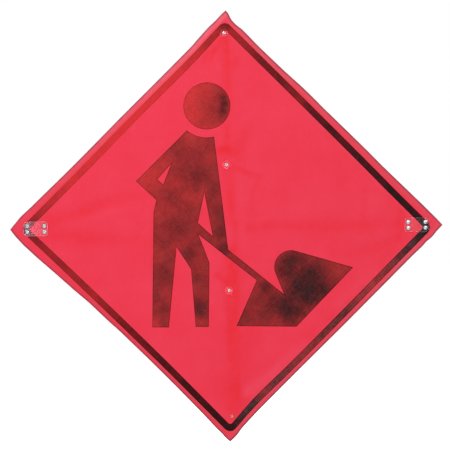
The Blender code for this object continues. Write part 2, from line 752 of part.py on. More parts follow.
def make_rib_rivets(centre):
    """The four rivets through the face and the vertical rib, with their washers and mandrels."""
    washer_front = RIDGE_BACK + COVER_BACK - CLEAR_WASHER_THICKNESS
    backing_front = RIB_BACK + SEAT_GAP
    grip_end = backing_front + BACKING_WASHER_THICKNESS + SEAT_GAP
    for name, place in RIB_RIVETS.items():
        position = (place[0], 0, place[1])
        hole = circle((0, 0), RIVET_HOLE_RADIUS, HOLE_STEPS)
        if name in CLEAR_WASHERS:
            bm = bmesh.new()
            rim = circle((0, 0), CLEAR_WASHER_RADIUS, WASHER_STEPS)
            add_plate(bm, rim, [hole], washer_front, washer_front + CLEAR_WASHER_THICKNESS)
            washer = add_object(f"clear_washer_{name}", bm, "clear_plastic", centre, position)
            round_edges(washer, CLEAR_WASHER_ROUNDING, CHAMFER_STEPS)
            seat = washer_front - SEAT_GAP
            head_radius, finish = RIVET_HEAD_RADIUS, "rivet_aluminium"
        else:
            seat = RIDGE_BACK - FABRIC_THICKNESS - SEAT_GAP
            head_radius, finish = BRASS_HEAD_RADIUS, "rivet_brass"
        make_rivet(f"rib_rivet_{name}", centre, position, seat, grip_end, head_radius, finish)
        bm = bmesh.new()
        backing = circle((0, 0), BACKING_WASHER_RADIUS, WASHER_STEPS)
        add_plate(bm, backing, [hole], backing_front, backing_front + BACKING_WASHER_THICKNESS)
        add_round_object(f"backing_washer_{name}", bm, "rivet_aluminium", centre, position)


# Side corners, each built for the right one and turned half round for the left one


def plate_outline(top):
    """A corner plate's outline up to a given height, rounder at the end near the tip."""
    half_x, half_z = PLATE_LENGTH / 2, PLATE_HEIGHT / 2
    corners = ((-half_x, -half_z), (-half_x, top), (half_x, top), (half_x, -half_z))
    if top < half_z:
        radii = (PLATE_INNER_RADIUS, POCKET_WALL_ROUNDING, POCKET_WALL_ROUNDING, PLATE_OUTER_RADIUS)
    else:
        radii = (PLATE_INNER_RADIUS, PLATE_INNER_RADIUS, PLATE_OUTER_RADIUS, PLATE_OUTER_RADIUS)
    return rounded_outline(corners, radii)


def plate_holes():
    """The rivet holes of a corner plate."""
    return [circle(place, RIVET_HOLE_RADIUS, HOLE_STEPS) for place in corner_rivet_places()]


def make_corner_plate(name, corner):
    """Clear plate on the front, with a shallow round dimple in its middle."""
    front = COVER_BACK - PLATE_THICKNESS
    bm = bmesh.new()
    add_plate(bm, plate_outline(PLATE_HEIGHT / 2), plate_holes(), front, COVER_BACK)
    plate = add_object(name, bm, "clear_plastic", corner)
    round_edges(plate, PLATE_EDGE_ROUNDING, CHAMFER_STEPS)
    cutter = bmesh.new()
    dimple = circle((0, 0), PLATE_DIMPLE_RADIUS, WASHER_STEPS)
    add_plate(cutter, dimple, [], front - PLATE_DIMPLE_DEPTH, front + PLATE_DIMPLE_DEPTH)
    combine(plate, add_tool(f"{name}_dimple_cutter", cutter, corner), "DIFFERENCE")


def make_rib_pocket(name, corner):
    """Clear pocket: floor, roof, a wall across the tip end and a wall that stops the rib."""
    stop = RIB_WIDTH / 2 + POCKET_SIDE_CLEARANCE
    half_z = PLATE_HEIGHT / 2
    bm = bmesh.new()
    add_plate(bm, plate_outline(half_z), [], SEAT_GAP, POCKET_FLOOR)
    pocket = add_object(name, bm, "clear_plastic", corner)

    bm = bmesh.new()
    add_plate(bm, plate_outline(stop + POCKET_WALL), [], SEAT_GAP + POCKET_WALL / 2, POCKET_BACK)
    shell = add_tool(f"{name}_shell", bm, corner)
    round_edges(shell, POCKET_ROUNDING, ROUNDING_STEPS)
    combine(pocket, shell, "UNION")

    wall_end = POCKET_MOUTH - half_z
    outside = PLATE_LENGTH
    cavity = (
        (-outside, -outside),
        (outside, -outside),
        (outside, wall_end),
        (POCKET_END, wall_end),
        (POCKET_END, stop),
        (-outside, stop),
    )
    bm = bmesh.new()
    add_plate(bm, cavity, [], POCKET_FLOOR, POCKET_ROOF)
    combine(pocket, add_tool(f"{name}_cavity_cutter", bm, corner), "DIFFERENCE")

    bm = bmesh.new()
    for hole in plate_holes():
        add_plate(bm, hole, [], 0, POCKET_FLOOR + SEAT_GAP)
    combine(pocket, add_tool(f"{name}_hole_cutter", bm, corner), "DIFFERENCE")


def make_corner(side, direction, centre):
    """The plate, pocket and rivets of one side corner."""
    corner = bpy.data.objects.new(f"{side}_corner", None)
    bpy.context.collection.objects.link(corner)
    corner.parent = centre
    corner.location = (PLATE_CENTRES[side], CORNER_BACK, 0)
    corner.rotation_euler = (0, 0 if direction > 0 else math.pi, 0)
    make_corner_plate(f"corner_plate_{side}", corner)
    make_rib_pocket(f"rib_pocket_{side}", corner)
    seat = COVER_BACK - PLATE_THICKNESS - SEAT_GAP
    grip_end = POCKET_FLOOR + SEAT_GAP
    for x, z in corner_rivet_places():
        column = "outer" if x > 0 else "inner"
        row = "upper" if z * direction > 0 else "lower"
        name = f"corner_rivet_{side}_{column}_{row}"
        make_rivet(name, corner, (x, 0, z), seat, grip_end, CORNER_HEAD_RADIUS, "rivet_aluminium")


def main():
    clear_scene()
    centre = bpy.data.objects.new("sign_centre", None)
    bpy.context.collection.objects.link(centre)
    centre.location = (0, 0, CENTRE_HEIGHT)
    make_face(centre)
    make_border(centre)
    make_worker(centre)
    make_vertical_rib(centre)
    make_cross_rib(centre)
    make_pivot(centre)
    make_rib_rivets(centre)
    make_corner("left", -1, centre)
    make_corner("right", 1, centre)


main()
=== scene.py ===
"""Looks of the roll-up traffic sign: its fabric face and print, plates, rivets and ribs.

Metres, +Z up, the printed side towards -Y. Places on the face are (right, up) from the sign's centre.
Its four sides are told clockwise from the left corner.
"""

import json
import math

import bmesh
import bpy
import numpy as np
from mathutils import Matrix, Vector, noise


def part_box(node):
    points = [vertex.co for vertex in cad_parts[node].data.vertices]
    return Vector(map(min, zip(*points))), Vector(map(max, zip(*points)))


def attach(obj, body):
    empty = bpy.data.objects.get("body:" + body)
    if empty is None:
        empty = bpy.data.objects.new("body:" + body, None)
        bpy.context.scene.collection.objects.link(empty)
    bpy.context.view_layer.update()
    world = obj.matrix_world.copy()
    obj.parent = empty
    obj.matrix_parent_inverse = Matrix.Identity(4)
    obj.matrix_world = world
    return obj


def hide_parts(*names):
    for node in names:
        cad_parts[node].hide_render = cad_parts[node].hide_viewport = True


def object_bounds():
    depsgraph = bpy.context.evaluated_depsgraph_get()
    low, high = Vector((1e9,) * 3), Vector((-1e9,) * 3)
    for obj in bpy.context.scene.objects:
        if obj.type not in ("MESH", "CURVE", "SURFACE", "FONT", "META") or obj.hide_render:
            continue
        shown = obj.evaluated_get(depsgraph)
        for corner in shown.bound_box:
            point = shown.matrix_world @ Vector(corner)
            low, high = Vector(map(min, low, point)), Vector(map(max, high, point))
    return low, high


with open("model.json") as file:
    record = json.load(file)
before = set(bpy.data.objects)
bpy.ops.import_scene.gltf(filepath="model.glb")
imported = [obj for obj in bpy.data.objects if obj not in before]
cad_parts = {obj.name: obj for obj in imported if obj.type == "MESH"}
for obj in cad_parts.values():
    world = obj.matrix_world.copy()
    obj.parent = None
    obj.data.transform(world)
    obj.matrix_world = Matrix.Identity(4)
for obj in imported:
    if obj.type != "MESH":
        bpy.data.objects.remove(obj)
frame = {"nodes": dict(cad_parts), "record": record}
cad_low, cad_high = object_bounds()

# Face
SIGN_SIDE = 0.9144
FABRIC_THICKNESS = 0.00065
CAD_FABRIC_THICKNESS = 0.0007
SEAT_GAP = 0.0003
FACE_CELLS = 144
HEM_WIDTH = 0.0127
HEM_DEPTH = 0.0014
HEM_FOLD_STEPS = 5
HEM_ROWS = 4
RIDGE_MARGIN = 0.0012
FLAT_CORNER_MARGIN = 0.030
SLOPE_EASE = 0.040
CURL_WIDTH = 0.024
CURL_DEPTH = 0.0030
MERGE_DISTANCE = 0.00001

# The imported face's worn edge: how far its faces turn from their side, how finely places along it are
# told apart and read, and how far in the cloth follows it
EDGE_TURN = math.radians(25)
SHARE_DIGITS = 3
EDGE_STEPS = 81
EDGE_FOLLOW = 0.020
EDGE_RELEASE = 0.150

# Painted shade (dull) and painted highlight (pale) of each side's margin, by how its curled hem faces the
# light, at even steps along it, and where the margin ends
MARGIN_PAINTED_SHADE = (
    (0.10, 0.50, 0.50, 0.62, 0.38, 0.30, 0.15),
    (0.35, 0.80, 0.80, 0.74, 1.00, 0.80, 0.10),
    (0.30, 0.80, 0.56, 0.60, 0.60, 0.75, 0.60),
    (0.50, 0.75, 0.35, 0.25, 0.50, 0.20, 0.30),
)
MARGIN_PAINTED_HIGHLIGHT = (
    (0.00, 0.16, 0.28, 0.42, 0.55, 0.78, 0.78),
    (0.34, 0.42, 0.34, 0.22, 0.12, 0.16, 0.06),
    (0.22, 0.44, 0.22, 0.20, 0.20, 0.20, 0.16),
    (0.04, 0.00, 0.02, 0.02, 0.00, 0.00, 0.00),
)
MARGIN_START, MARGIN_END = 0.014, 0.021
# Where the cloth turns darker towards its edge, from the edge inwards
EDGE_DARK_START, EDGE_DARK_END = 0.0006, 0.0045

# Waves and folds in the fabric
WAVE_LENGTH = 0.130
WAVE_HEIGHT = 0.0009
FOLD_FREE_START = 0.004
FOLD_FREE_END = 0.050
FOLD_FADE = 0.55
FOLD_FADE_START = 0.4

# Print: it lies INK_GAP off the cloth, its rims are worn less than its middle, and its packed faces whose
# normal's Y is below FRONT_NORMAL are its front
INK_GAP = 0.00016
INK_THICKNESS = 0.00008
BORDER_RIM = 0.0022
FIGURE_RIM = 0.0038
FRONT_NORMAL = -0.5
RIVET_HOLE_REACH = 0.006
BLOB_CORE = 0.15
CUT_TOLERANCE = 0.000001

# Uneven finishes. Each row is a soft noise: its size (1 where its place is stretched first), detail and
# roughness, the stretch of its values that counts, and the range that this is mapped to.
CLOTH_TONE = (0.13, 4.0, 0.6, 0.28, 0.72, 0.0, 1.0)
CLOTH_GRIT = (0.006, 2.0, 0.5, 0.35, 0.75, 0.0, 0.20)
# uneven strength of the painted shade and painted highlight on the cloth
PAINTED_TINT_PATCHES = (0.022, 3.0, 0.5, 0.3, 0.7, 0.78, 1.12)
# uneven strength of the darker edge
CLOTH_EDGE_DARKENING = (0.03, 3.0, 0.5, 0.2, 0.7, 0.55, 1.0)
CLOTH_ROUGHNESS = (0.02, 3.0, 0.5, 0.3, 0.7, 0.44, 0.54)
INK_BLOTCHES = (0.060, 3.0, 0.55, 0.25, 0.75, -0.07, 0.07)
INK_STREAKS = (1.0, 3.0, 0.6, 0.28, 0.72, -0.055, 0.045)
INK_GRAIN = (0.0045, 2.0, 0.5, 0.30, 0.70, -0.04, 0.04)
INK_SCRATCHES = (1.0, 1.0, 0.5, 0.62, 0.74, 0.0, -0.09)
# patches of the painted sheen over the ink
INK_SHEEN_PATCHES = (0.012, 3.0, 0.5, 0.3, 0.7, 0.015, 0.045)
INK_ROUGHNESS = (0.02, 3.0, 0.5, 0.3, 0.7, 0.50, 0.64)
CLEAR_ROUGHNESS = (1.0, 3.0, 0.5, 0.45, 0.75, 0.085, 0.100)
CLEAR_CLOUDING = (0.02, 2.0, 0.5, 0.3, 0.7, 0.0, 1.0)
METAL_TARNISH = (0.003, 4.0, 0.6, 0.35, 0.70, 0.0, 1.0)
METAL_MARKS = (0.0012, 3.0, 0.5, 0.3, 0.7)
RESIN_PATCHES = (0.09, 3.0, 0.5, 0.3, 0.7, 0.0, 1.0)

# Cloth: a grid of thick threads and the fine weave between them, each with its pitch, how sharply its
# threads stand out and how high. They wander by the drift, which changes over the drift's size.
THREADS = ((0.0066, 6.0, 1.0), (0.0011, 1.0, 0.35))
THREAD_DRIFT = 0.0033
THREAD_DRIFT_NOISE = (0.05, 1.0)
CLOTH_COLOURS = (0.803, 0.026, 0.058), (0.815, 0.035, 0.077)
GRIT_COLOUR = (0.770, 0.022, 0.046)
# Painted light on the cloth. For each tint, the vertex value that it follows, whether upwards or downwards,
# and
# its colour: painted shade and painted highlight of the hem margins and of the folds.
PAINTED_LIGHT_TINTS = (
    ("dull", 1.0, (0.670, 0.040, 0.062)),
    ("pale", 1.0, (0.805, 0.118, 0.165)),
    ("painted_fold_shade", 1.0, (0.785, 0.010, 0.022)),
    ("painted_fold_shade", -1.0, (0.825, 0.058, 0.110)),
)
# Painted shade in the hollows between the threads: its strength and its colour
HOLLOW_SHADE = 0.10
HOLLOW_SHADE_COLOUR = (0.700, 0.014, 0.034)
# colour of the darker edge
EDGE_DARK_COLOUR = (0.180, 0.020, 0.045)
CLOTH_SPECULAR = 0.25
CLOTH_BUMP = 0.00012

# Clear plastic: radii of the left and right corners, how milky it is and how much more so at its rim
PLATE_OUTER_RADIUS = 0.0130
PLATE_INNER_RADIUS = 0.0080
WASHER_RADIUS = 0.0127
PLATE_RADII = {
    "corner_plate_left": (PLATE_OUTER_RADIUS, PLATE_INNER_RADIUS),
    "corner_plate_right": (PLATE_INNER_RADIUS, PLATE_OUTER_RADIUS),
}
OTHER_RADII = (WASHER_RADIUS, WASHER_RADIUS)
PLATE_MILK = {"corner_plate_left": (0.0, 0.26), "corner_plate_right": (0.0, 0.12)}
OTHER_MILK = (0.015, 0.0)
MILKY_RIM = 0.0013
MILKY_RIM_FULL = MILKY_RIM / 3
RIM_ROUGHNESS = 0.3
RIM_COLOUR = (0.86, 0.74, 0.78)
CLEAR_COLOURS = (0.98, 0.98, 0.98), (0.95, 0.96, 0.96)
CLEAR_STRETCH = (60, 60, 900)
PLATE_IOR, WASHER_IOR = 1.27, 1.08

# Metals: for each slot, its material's name, bare colour, dark colour (of random tarnish and of the painted
# shade round the rim), and lowest and highest roughness
METALS = {
    "rivet_aluminium": ("rivet_aluminium_tarnish_rim_shade", (0.66, 0.67, 0.68), (0.26, 0.26, 0.27), 0.13, 0.24),
    "rivet_brass": ("rivet_brass_tarnish_rim_shade", (0.64, 0.23, 0.17), (0.32, 0.080, 0.05), 0.20, 0.34),
    "mandrel_steel": ("mandrel_steel_dull", (0.22, 0.22, 0.23), (0.10, 0.09, 0.09), 0.40, 0.60),
    "zinc_steel": ("zinc_steel_plated", (0.70, 0.71, 0.73), (0.50, 0.51, 0.54), 0.25, 0.42),
}
# Painted shade round the rim of each metal piece: where it starts and where it is full
RIM_PAINTED_SHADE = (0.30, 0.50)
TARNISH_STRENGTH = 0.7
METAL_GRAIN = (0.0008, 2.0)
METAL_BUMP = 0.00003

# Fibreglass, whose strands are fine across the bar and long along it, and nylon
STRAND_ALONG, STRAND_ACROSS = 6, 700
STRAND_NOISE = (1.0, 4.0, 0.6)
STRAND_SHOWS = (0.35, 0.70)
STRAND_ROUGHNESS = (0.3, 0.7, 0.38, 0.62)
STRAND_BUMP = 0.00008
RESIN_COLOURS = (0.66, 0.61, 0.42), (0.58, 0.55, 0.38)
STRAND_COLOUR = (0.74, 0.71, 0.56)
NYLON_NOISE = (0.004, 3.0)
NYLON_COLOURS = (0.82, 0.81, 0.77), (0.74, 0.73, 0.68)
NYLON_ROUGHNESS = 0.5
NYLON_SUBSURFACE = 0.1
NYLON_GRAIN = (0.0006, 2.0)
NYLON_BUMP = 0.00003

# Camera, from the photograph: pixels of a 450 by 450 frame
IMAGE_WIDTH_PX = 450
SIGN_CENTRE_PX = (227.37, 226.87)
METRES_PER_PX = 0.002996
SIGN_TURN = math.radians(0.62)
CAMERA_DISTANCE = 4.0
SENSOR_WIDTH = 36.0

# Studio: a dark card's name, place, width and height, and a lamp's name, place, size, power and colour
DARK_CARDS = (
    ("dark_card_right", (1.70, -1.50, 0.15), 1.1, 1.3),
    ("dark_card_left", (-1.72, -1.57, 0.35), 1.1, 1.5),
)
CARD_COLOURS = (0.02, 0.02, 0.02), (0.04, 0.04, 0.04)
CARD_BLOTCH = 0.02
LAMPS = (
    ("key_lamp", (-2.2, -3.0, 3.6), 1.8, 105, (1, 1, 1)),
    ("fill_lamp", (3.0, -3.0, 1.6), 2.0, 30, (1, 1, 1)),
    ("front_lamp", (0.75, -4.3, 1.5), 0.40, 10, (1, 1, 1)),
    ("side_card", (-1.40, -4.05, 0.62), 0.5, 4.2, (0.95, 0.70, 0.95)),
    ("back_lamp", (-1.5, 3.0, 2.4), 2.0, 75, (1, 1, 1)),
)
FLOOR_DROP = 0.30
FLOOR_REACH = 30.0
FLOOR_GLOW = 0.60
FLOOR_COLOURS = (0.88, 0.88, 0.88), (0.92, 0.92, 0.92)
FLOOR_BLOTCH = 0.5
MATT_ROUGHNESS = 0.9
WORLD_LIGHT = 0.40
WHITE = (1, 1, 1, 1)

# Places that follow from the frame
rib_low, rib_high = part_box("vertical_rib")
plates = [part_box(f"corner_plate_{side}") for side in ("left", "right")]
pocket_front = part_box("rib_pocket_right")[0].y
CENTRE_Z = (rib_low.z + rib_high.z) / 2
RIDGE_FRONT = rib_low.y - SEAT_GAP - CAD_FABRIC_THICKNESS
CORNER_FRONT = pocket_front - SEAT_GAP - CAD_FABRIC_THICKNESS
RIDGE_EDGE = rib_high.x + RIDGE_MARGIN
FLAT_CORNER = plates[1][0].x - FLAT_CORNER_MARGIN

# Directions of the sides and of the threads along them
HALF = math.sqrt(0.5)
SIDE_NORMALS = np.array(((-HALF, HALF), (HALF, HALF), (HALF, -HALF), (-HALF, -HALF)))
SIDE_TANGENTS = np.array(((HALF, HALF), (HALF, -HALF), (-HALF, -HALF), (-HALF, HALF)))
THREAD_RUNS = ((HALF, 0, HALF), (HALF, 0, -HALF))
IN_FACE = (1, 0, 1)

# Folds and creases in the face, from the corner plates, rivets and ribs that hold it. Each runs through its
# points, with a half width, a height towards the reader and how much painted shade it lays on the cloth,
# which is painted highlight below 0. A fold with no height is only painted shade.
FOLDS = (
    # over the vertical rib; bands with no height here are painted shade of the rib behind the cloth
    (((0.003, 0.559), (0.007, 0.499), (0.008, 0.433)), 0.005, 0.0003, 0.34),
    (((0.000, 0.559), (0.002, 0.424), (0.003, 0.295), (-0.001, 0.229)), 0.017, 0.0, 0.46),
    (((0.006, 0.152), (0.008, 0.064), (0.011, 0.015)), 0.016, 0.0, 0.45),
    (((0.012, 0.100), (0.017, 0.020)), 0.010, 0.0, 0.28),
    (((0.024, 0.010), (0.023, -0.068)), 0.006, -0.0003, 0.40),
    (((0.048, -0.005), (0.047, -0.059)), 0.006, 0.0003, -0.25),
    (((0.010, -0.076), (0.013, -0.191), (0.016, -0.340), (0.016, -0.550)), 0.023, 0.0, 0.70),
    (((0.002, -0.208), (0.003, -0.403)), 0.004, 0.0, 0.30),
    (((0.028, -0.188), (0.029, -0.260)), 0.005, 0.0003, 0.25),
    (((0.028, -0.446), (0.027, -0.517)), 0.006, 0.0003, 0.25),
    (((0.016, -0.500), (0.014, -0.570)), 0.034, 0.0, 0.26),
    (((0.062, -0.250), (0.070, -0.330), (0.050, -0.420)), 0.026, 0.0, 0.22),
    (((-0.020, -0.470), (-0.030, -0.540)), 0.036, 0.0, 0.22),
    # at the top rivet
    (((-0.011, 0.561), (-0.055, 0.494)), 0.011, -0.0009, 0.38),
    (((-0.056, 0.519), (-0.072, 0.476)), 0.010, -0.0007, 0.34),
    (((-0.033, 0.530), (-0.050, 0.476)), 0.008, -0.0005, 0.32),
    (((-0.022, 0.480), (-0.022, 0.470)), 0.009, 0.0008, -0.25),
    (((0.034, 0.503), (0.023, 0.471)), 0.009, -0.0007, 0.42),
    # at the upper rivet
    (((-0.022, 0.230), (0.000, 0.231), (0.020, 0.216)), 0.014, -0.0006, 0.80),
    (((0.005, 0.295), (0.000, 0.235)), 0.012, 0.0, 0.30),
    (((0.029, 0.227), (0.085, 0.312)), 0.018, -0.0012, 0.42),
    (((0.024, 0.178), (0.062, 0.160), (0.101, 0.150)), 0.010, -0.0011, 0.55),
    (((0.095, 0.147), (0.076, 0.097), (0.069, 0.010)), 0.010, -0.0007, 0.24),
    (((0.040, 0.120), (0.050, 0.020)), 0.012, 0.0006, -0.16),
    # at the lower rivet
    (((-0.035, -0.142), (-0.014, -0.160), (0.011, -0.171)), 0.008, -0.0008, 0.50),
    (((0.023, -0.137), (0.023, -0.185)), 0.006, -0.0004, 0.35),
    (((-0.034, -0.178), (-0.030, -0.176)), 0.009, 0.0008, -0.30),
    (((-0.049, -0.222), (-0.045, -0.216)), 0.010, 0.0005, -0.22),
    # from the left plate
    (
        (
            (-0.522, 0.022), (-0.462, 0.034), (-0.401, 0.058),
            (-0.363, 0.076), (-0.311, 0.092), (-0.226, 0.095),
        ),
        0.022, -0.0014, 0.50,
    ),
    (((-0.500, 0.012), (-0.400, 0.032), (-0.300, 0.052)), 0.012, 0.0010, -0.16),
    (((-0.525, -0.023), (-0.441, -0.034), (-0.228, -0.038)), 0.025, -0.0012, 0.45),
    # from the right plate
    (((0.060, -0.007), (0.111, -0.004)), 0.015, 0.0, 0.34),
    (((0.111, 0.005), (0.162, 0.005)), 0.014, 0.0, 0.45),
    (((0.183, -0.003), (0.339, -0.004), (0.507, -0.004)), 0.021, -0.0005, 0.40),
    (((0.190, 0.014), (0.285, 0.012)), 0.020, 0.0, 0.10),
    (((0.378, 0.007), (0.507, 0.005)), 0.012, -0.0003, 0.18),
    (((0.519, 0.035), (0.518, -0.037)), 0.016, 0.0, 0.45),
    (((0.514, -0.037), (0.462, -0.064), (0.372, -0.086)), 0.020, -0.0013, 0.33),
    (((0.411, 0.101), (0.410, 0.024)), 0.012, -0.0004, 0.28),
    # loose cloth inside the lower right border
    (((0.055, -0.495), (0.124, -0.449), (0.180, -0.394), (0.227, -0.355)), 0.018, 0.0012, -0.60),
    (((0.330, -0.240), (0.430, -0.140)), 0.018, 0.0008, -0.22),
)

# Small kinks of the worn edge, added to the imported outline: for each side, pairs of the share of the way
# along it and the distance outwards.
EDGE_KINKS = (
    (
        (0, 0), (0.02, 0.0008), (0.05, 0.0014), (0.10, 0.0000), (0.40, 0.0006), (0.50, 0.0010),
        (0.62, 0.0004), (0.84, -0.0003), (0.88, 0.0018), (0.92, 0.0028), (0.955, 0.0010), (0.98, 0.0014),
        (1, 0),
    ),
    (
        (0, 0), (0.012, 0.0006), (0.03, -0.0038), (0.045, -0.0048), (0.06, -0.0026), (0.08, 0.0006),
        (0.12, 0.0012), (0.16, 0), (0.28, 0.0002), (0.35, 0.0020), (0.40, 0.0018), (0.45, 0.0006),
        (0.55, 0.0010), (0.65, 0.0010), (0.72, 0), (0.90, 0.0014), (0.97, 0.0010), (1, 0),
    ),
    (
        (0, 0), (0.03, 0.0008), (0.055, 0.0034), (0.075, 0.0010), (0.10, 0.0020), (0.15, 0.0010),
        (0.25, 0.0014), (0.50, 0.0018), (0.65, 0.0014), (0.80, 0.0014), (0.92, -0.0006), (0.945, -0.0006),
        (0.963, 0.0016), (0.98, 0.0018), (1, 0),
    ),
    (
        (0, 0), (0.018, 0.0026), (0.035, 0.0012), (0.07, 0.0022), (0.10, 0.0014), (0.45, 0.0012),
        (0.52, 0.0004), (0.56, 0.0010), (0.65, -0.0010), (0.72, 0.0010), (0.80, 0.0010), (0.94, 0.0018),
        (0.975, 0.0018), (1, 0),
    ),
)


# Outline of the face


def along_side(side, points):
    """Share of the way along a side of points on the face."""
    return points @ SIDE_TANGENTS[side] / SIGN_SIDE + 0.5


def read_edge_offsets():
    """For each side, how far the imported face's edge lies outside the true square, along the side."""
    mesh = frame["nodes"]["sign_fabric"].data
    places = np.array([v.co for v in mesh.vertices])[:, (0, 2)] - (0, CENTRE_Z)
    offsets = []
    for side, normal in enumerate(SIDE_NORMALS):
        found = {}
        for face in mesh.polygons:
            facing = np.array((face.normal.x, face.normal.z)) @ normal
            if facing < math.cos(EDGE_TURN):
                continue
            for index in face.vertices:
                out = places[index] @ normal - SIGN_SIDE / 2
                if out > -HEM_WIDTH:
                    found[round(along_side(side, places[index]), SHARE_DIGITS)] = out
        shares = sorted(found)
        offsets.append((np.array(shares), np.array([found[share] for share in shares])))
    return offsets


def edge_offset(side, share):
    """Read a side's offset at shares of the way along it, as a smooth curve."""
    shares, values = EDGE_OFFSETS[side]
    even = np.linspace(0, 1, EDGE_STEPS)
    level = np.interp(even, shares, values) + np.interp(even, *zip(*EDGE_KINKS[side]))
    slopes = np.gradient(level, even)
    share = np.clip(share, 0, 1)
    left = np.clip((share * (EDGE_STEPS - 1)).astype(int), 0, EDGE_STEPS - 2)
    width = even[1]
    t = share / width - left
    return (
        level[left] * (2 * t**3 - 3 * t**2 + 1)
        + slopes[left] * width * (t**3 - 2 * t**2 + t)
        + level[left + 1] * (3 * t**2 - 2 * t**3)
        + slopes[left + 1] * width * (t**3 - t**2)
    )


def smooth(value, low, high):
    """Rise smoothly from 0 at low to 1 at high."""
    t = np.clip((value - low) / (high - low), 0, 1)
    return t * t * (3 - 2 * t)


def follow_edges(points):
    """Move points of the true square so that its edges lie where the face's edges lie."""
    moved = points.copy()
    for side, normal in enumerate(SIDE_NORMALS):
        inset = SIGN_SIDE / 2 - points @ normal
        reach = edge_offset(side, along_side(side, points)) * (1 - smooth(inset, EDGE_FOLLOW, EDGE_RELEASE))
        moved += reach[:, None] * normal
    return moved


def side_distance(side, points):
    """Distance from points on the face to the edge of one side."""
    return SIGN_SIDE / 2 + edge_offset(side, along_side(side, points)) - points @ SIDE_NORMALS[side]


def edge_distance(points):
    """Distance from points on the face to its nearest edge."""
    return np.min([side_distance(side, points) for side in range(len(SIDE_NORMALS))], axis=0)


# Shape of the face


def eased(value, ease):
    """Distance covered by a slope that starts gently over its first stretch."""
    value = np.maximum(value, 0)
    return np.where(value < ease, value**2 / (2 * ease), value - ease / 2)


def fold_sums(points):
    """Height of all the folds towards the reader, and the painted shade they lay on the cloth, painted
    highlight below 0.
    """
    heights = np.zeros(len(points))
    shades = np.zeros(len(points))
    for line, half_width, height, shade in FOLDS:
        line = np.array(line)
        lengths = np.hypot(*np.diff(line, axis=0).T)
        nearest = np.full(len(points), np.inf)
        share = np.zeros(len(points))
        for index, length in enumerate(lengths):
            start, run = line[index], line[index + 1] - line[index]
            along_it = np.clip((points - start) @ run / length**2, 0, 1)
            away = np.hypot(*(points - start - along_it[:, None] * run).T)
            reached = (lengths[:index].sum() + along_it * length) / lengths.sum()
            share = np.where(away < nearest, reached, share)
            nearest = np.minimum(away, nearest)
        fade = 1 - FOLD_FADE * smooth(share, FOLD_FADE_START, 1)
        strength = np.exp(-((nearest / half_width) ** 2)) * fade
        heights += height * strength
        shades += shade * strength
    return heights, shades


def free_share(points):
    """0 where the plates or the vertical rib hold the cloth flat, 1 well away from them."""
    beyond = np.abs(points[:, 0]) - RIDGE_EDGE
    for low, high in plates:
        out_x = np.maximum(np.maximum(low.x - points[:, 0], points[:, 0] - high.x), 0)
        out_z = np.maximum(np.abs(points[:, 1]) - (high.z - low.z) / 2, 0)
        beyond = np.minimum(beyond, np.hypot(out_x, out_z))
    return smooth(beyond, FOLD_FREE_START, FOLD_FREE_END)


def waves(points):
    """Slow unevenness of cloth that has been rolled up for storage."""
    return np.array([noise.noise(Vector((x / WAVE_LENGTH, 0, z / WAVE_LENGTH))) for x, z in points])


def face_depth(points):
    """Depth of the front of the face: ridge, slopes, flat corners, curled edges, folds and waves."""
    run = FLAT_CORNER - RIDGE_EDGE
    out = np.abs(points[:, 0]) - RIDGE_EDGE
    back = (eased(out, SLOPE_EASE) - eased(out - (run - SLOPE_EASE), SLOPE_EASE)) / (run - SLOPE_EASE)
    depth = RIDGE_FRONT + (CORNER_FRONT - RIDGE_FRONT) * back
    depth += CURL_DEPTH * np.clip(1 - edge_distance(points) / CURL_WIDTH, 0, 1) ** 2
    return depth - free_share(points) * (fold_sums(points)[0] + WAVE_HEIGHT * waves(points))


EDGE_OFFSETS = read_edge_offsets()


# Objects


def add_mesh(name, verts, faces):
    """Make an object from vertices and faces."""
    mesh = bpy.data.meshes.new(name)
    mesh.from_pydata([tuple(v) for v in verts], [], faces)
    mesh.validate()
    obj = bpy.data.objects.new(name, mesh)
    bpy.context.scene.collection.objects.link(obj)
    return obj


def add_rectangle(name, centre, across, up):
    """Make a rectangle, from its centre to the middle of one side and of the next."""
    centre, across, up = Vector(centre), Vector(across), Vector(up)
    corners = (centre - across - up, centre + across - up, centre + across + up, centre - across + up)
    return add_mesh(name, corners, [(0, 1, 2, 3)])


def add_values(obj, name, values):
    """Keep a number for each vertex, for the materials to read."""
    attribute = obj.data.attributes.new(name, "FLOAT", "POINT")
    attribute.data.foreach_set("value", values.astype(np.float32))


def turn_front(bm):
    """Turn all the faces of a sheet to the reader."""
    bmesh.ops.recalc_face_normals(bm, faces=bm.faces[:])
    if sum(face.normal.y * face.calc_area() for face in bm.faces) > 0:
        bmesh.ops.reverse_faces(bm, faces=bm.faces[:])


def finish_sheet(obj, thickness, material, node):
    """Make a smooth sheet thick behind its front, give it its finish, and let it stand for its node."""
    obj.data.shade_smooth()
    thick = obj.modifiers.new("thickness", "SOLIDIFY")
    thick.thickness = thickness
    thick.offset = -1
    obj.data.materials.append(material)
    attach(obj, "sign")
    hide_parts(node)


# Material nodes


def new_material(name):
    """A Principled material, with its tree and its shader."""
    material = bpy.data.materials.new(name)
    material.use_nodes = True
    tree = material.node_tree
    return material, tree, tree.nodes["Principled BSDF"]


def add_node(tree, kind, inputs=None, **settings):
    """Add a node, set its options, and set or link its inputs."""
    node = tree.nodes.new("ShaderNode" + kind)
    for key, value in settings.items():
        setattr(node, key, value)
    for key, value in (inputs or {}).items():
        if isinstance(value, bpy.types.NodeSocket):
            tree.links.new(value, node.inputs[key])
        else:
            node.inputs[key].default_value = value
    return node


def sums(tree, operation, first, second=0.0, clamp=False):
    """One Math node's result."""
    return add_node(tree, "Math", {0: first, 1: second}, operation=operation, use_clamp=clamp).outputs[0]


def vectors(tree, operation, first, second=(0, 0, 0)):
    """One Vector Math node's vector."""
    return add_node(tree, "VectorMath", {0: first, 1: second}, operation=operation).outputs[0]


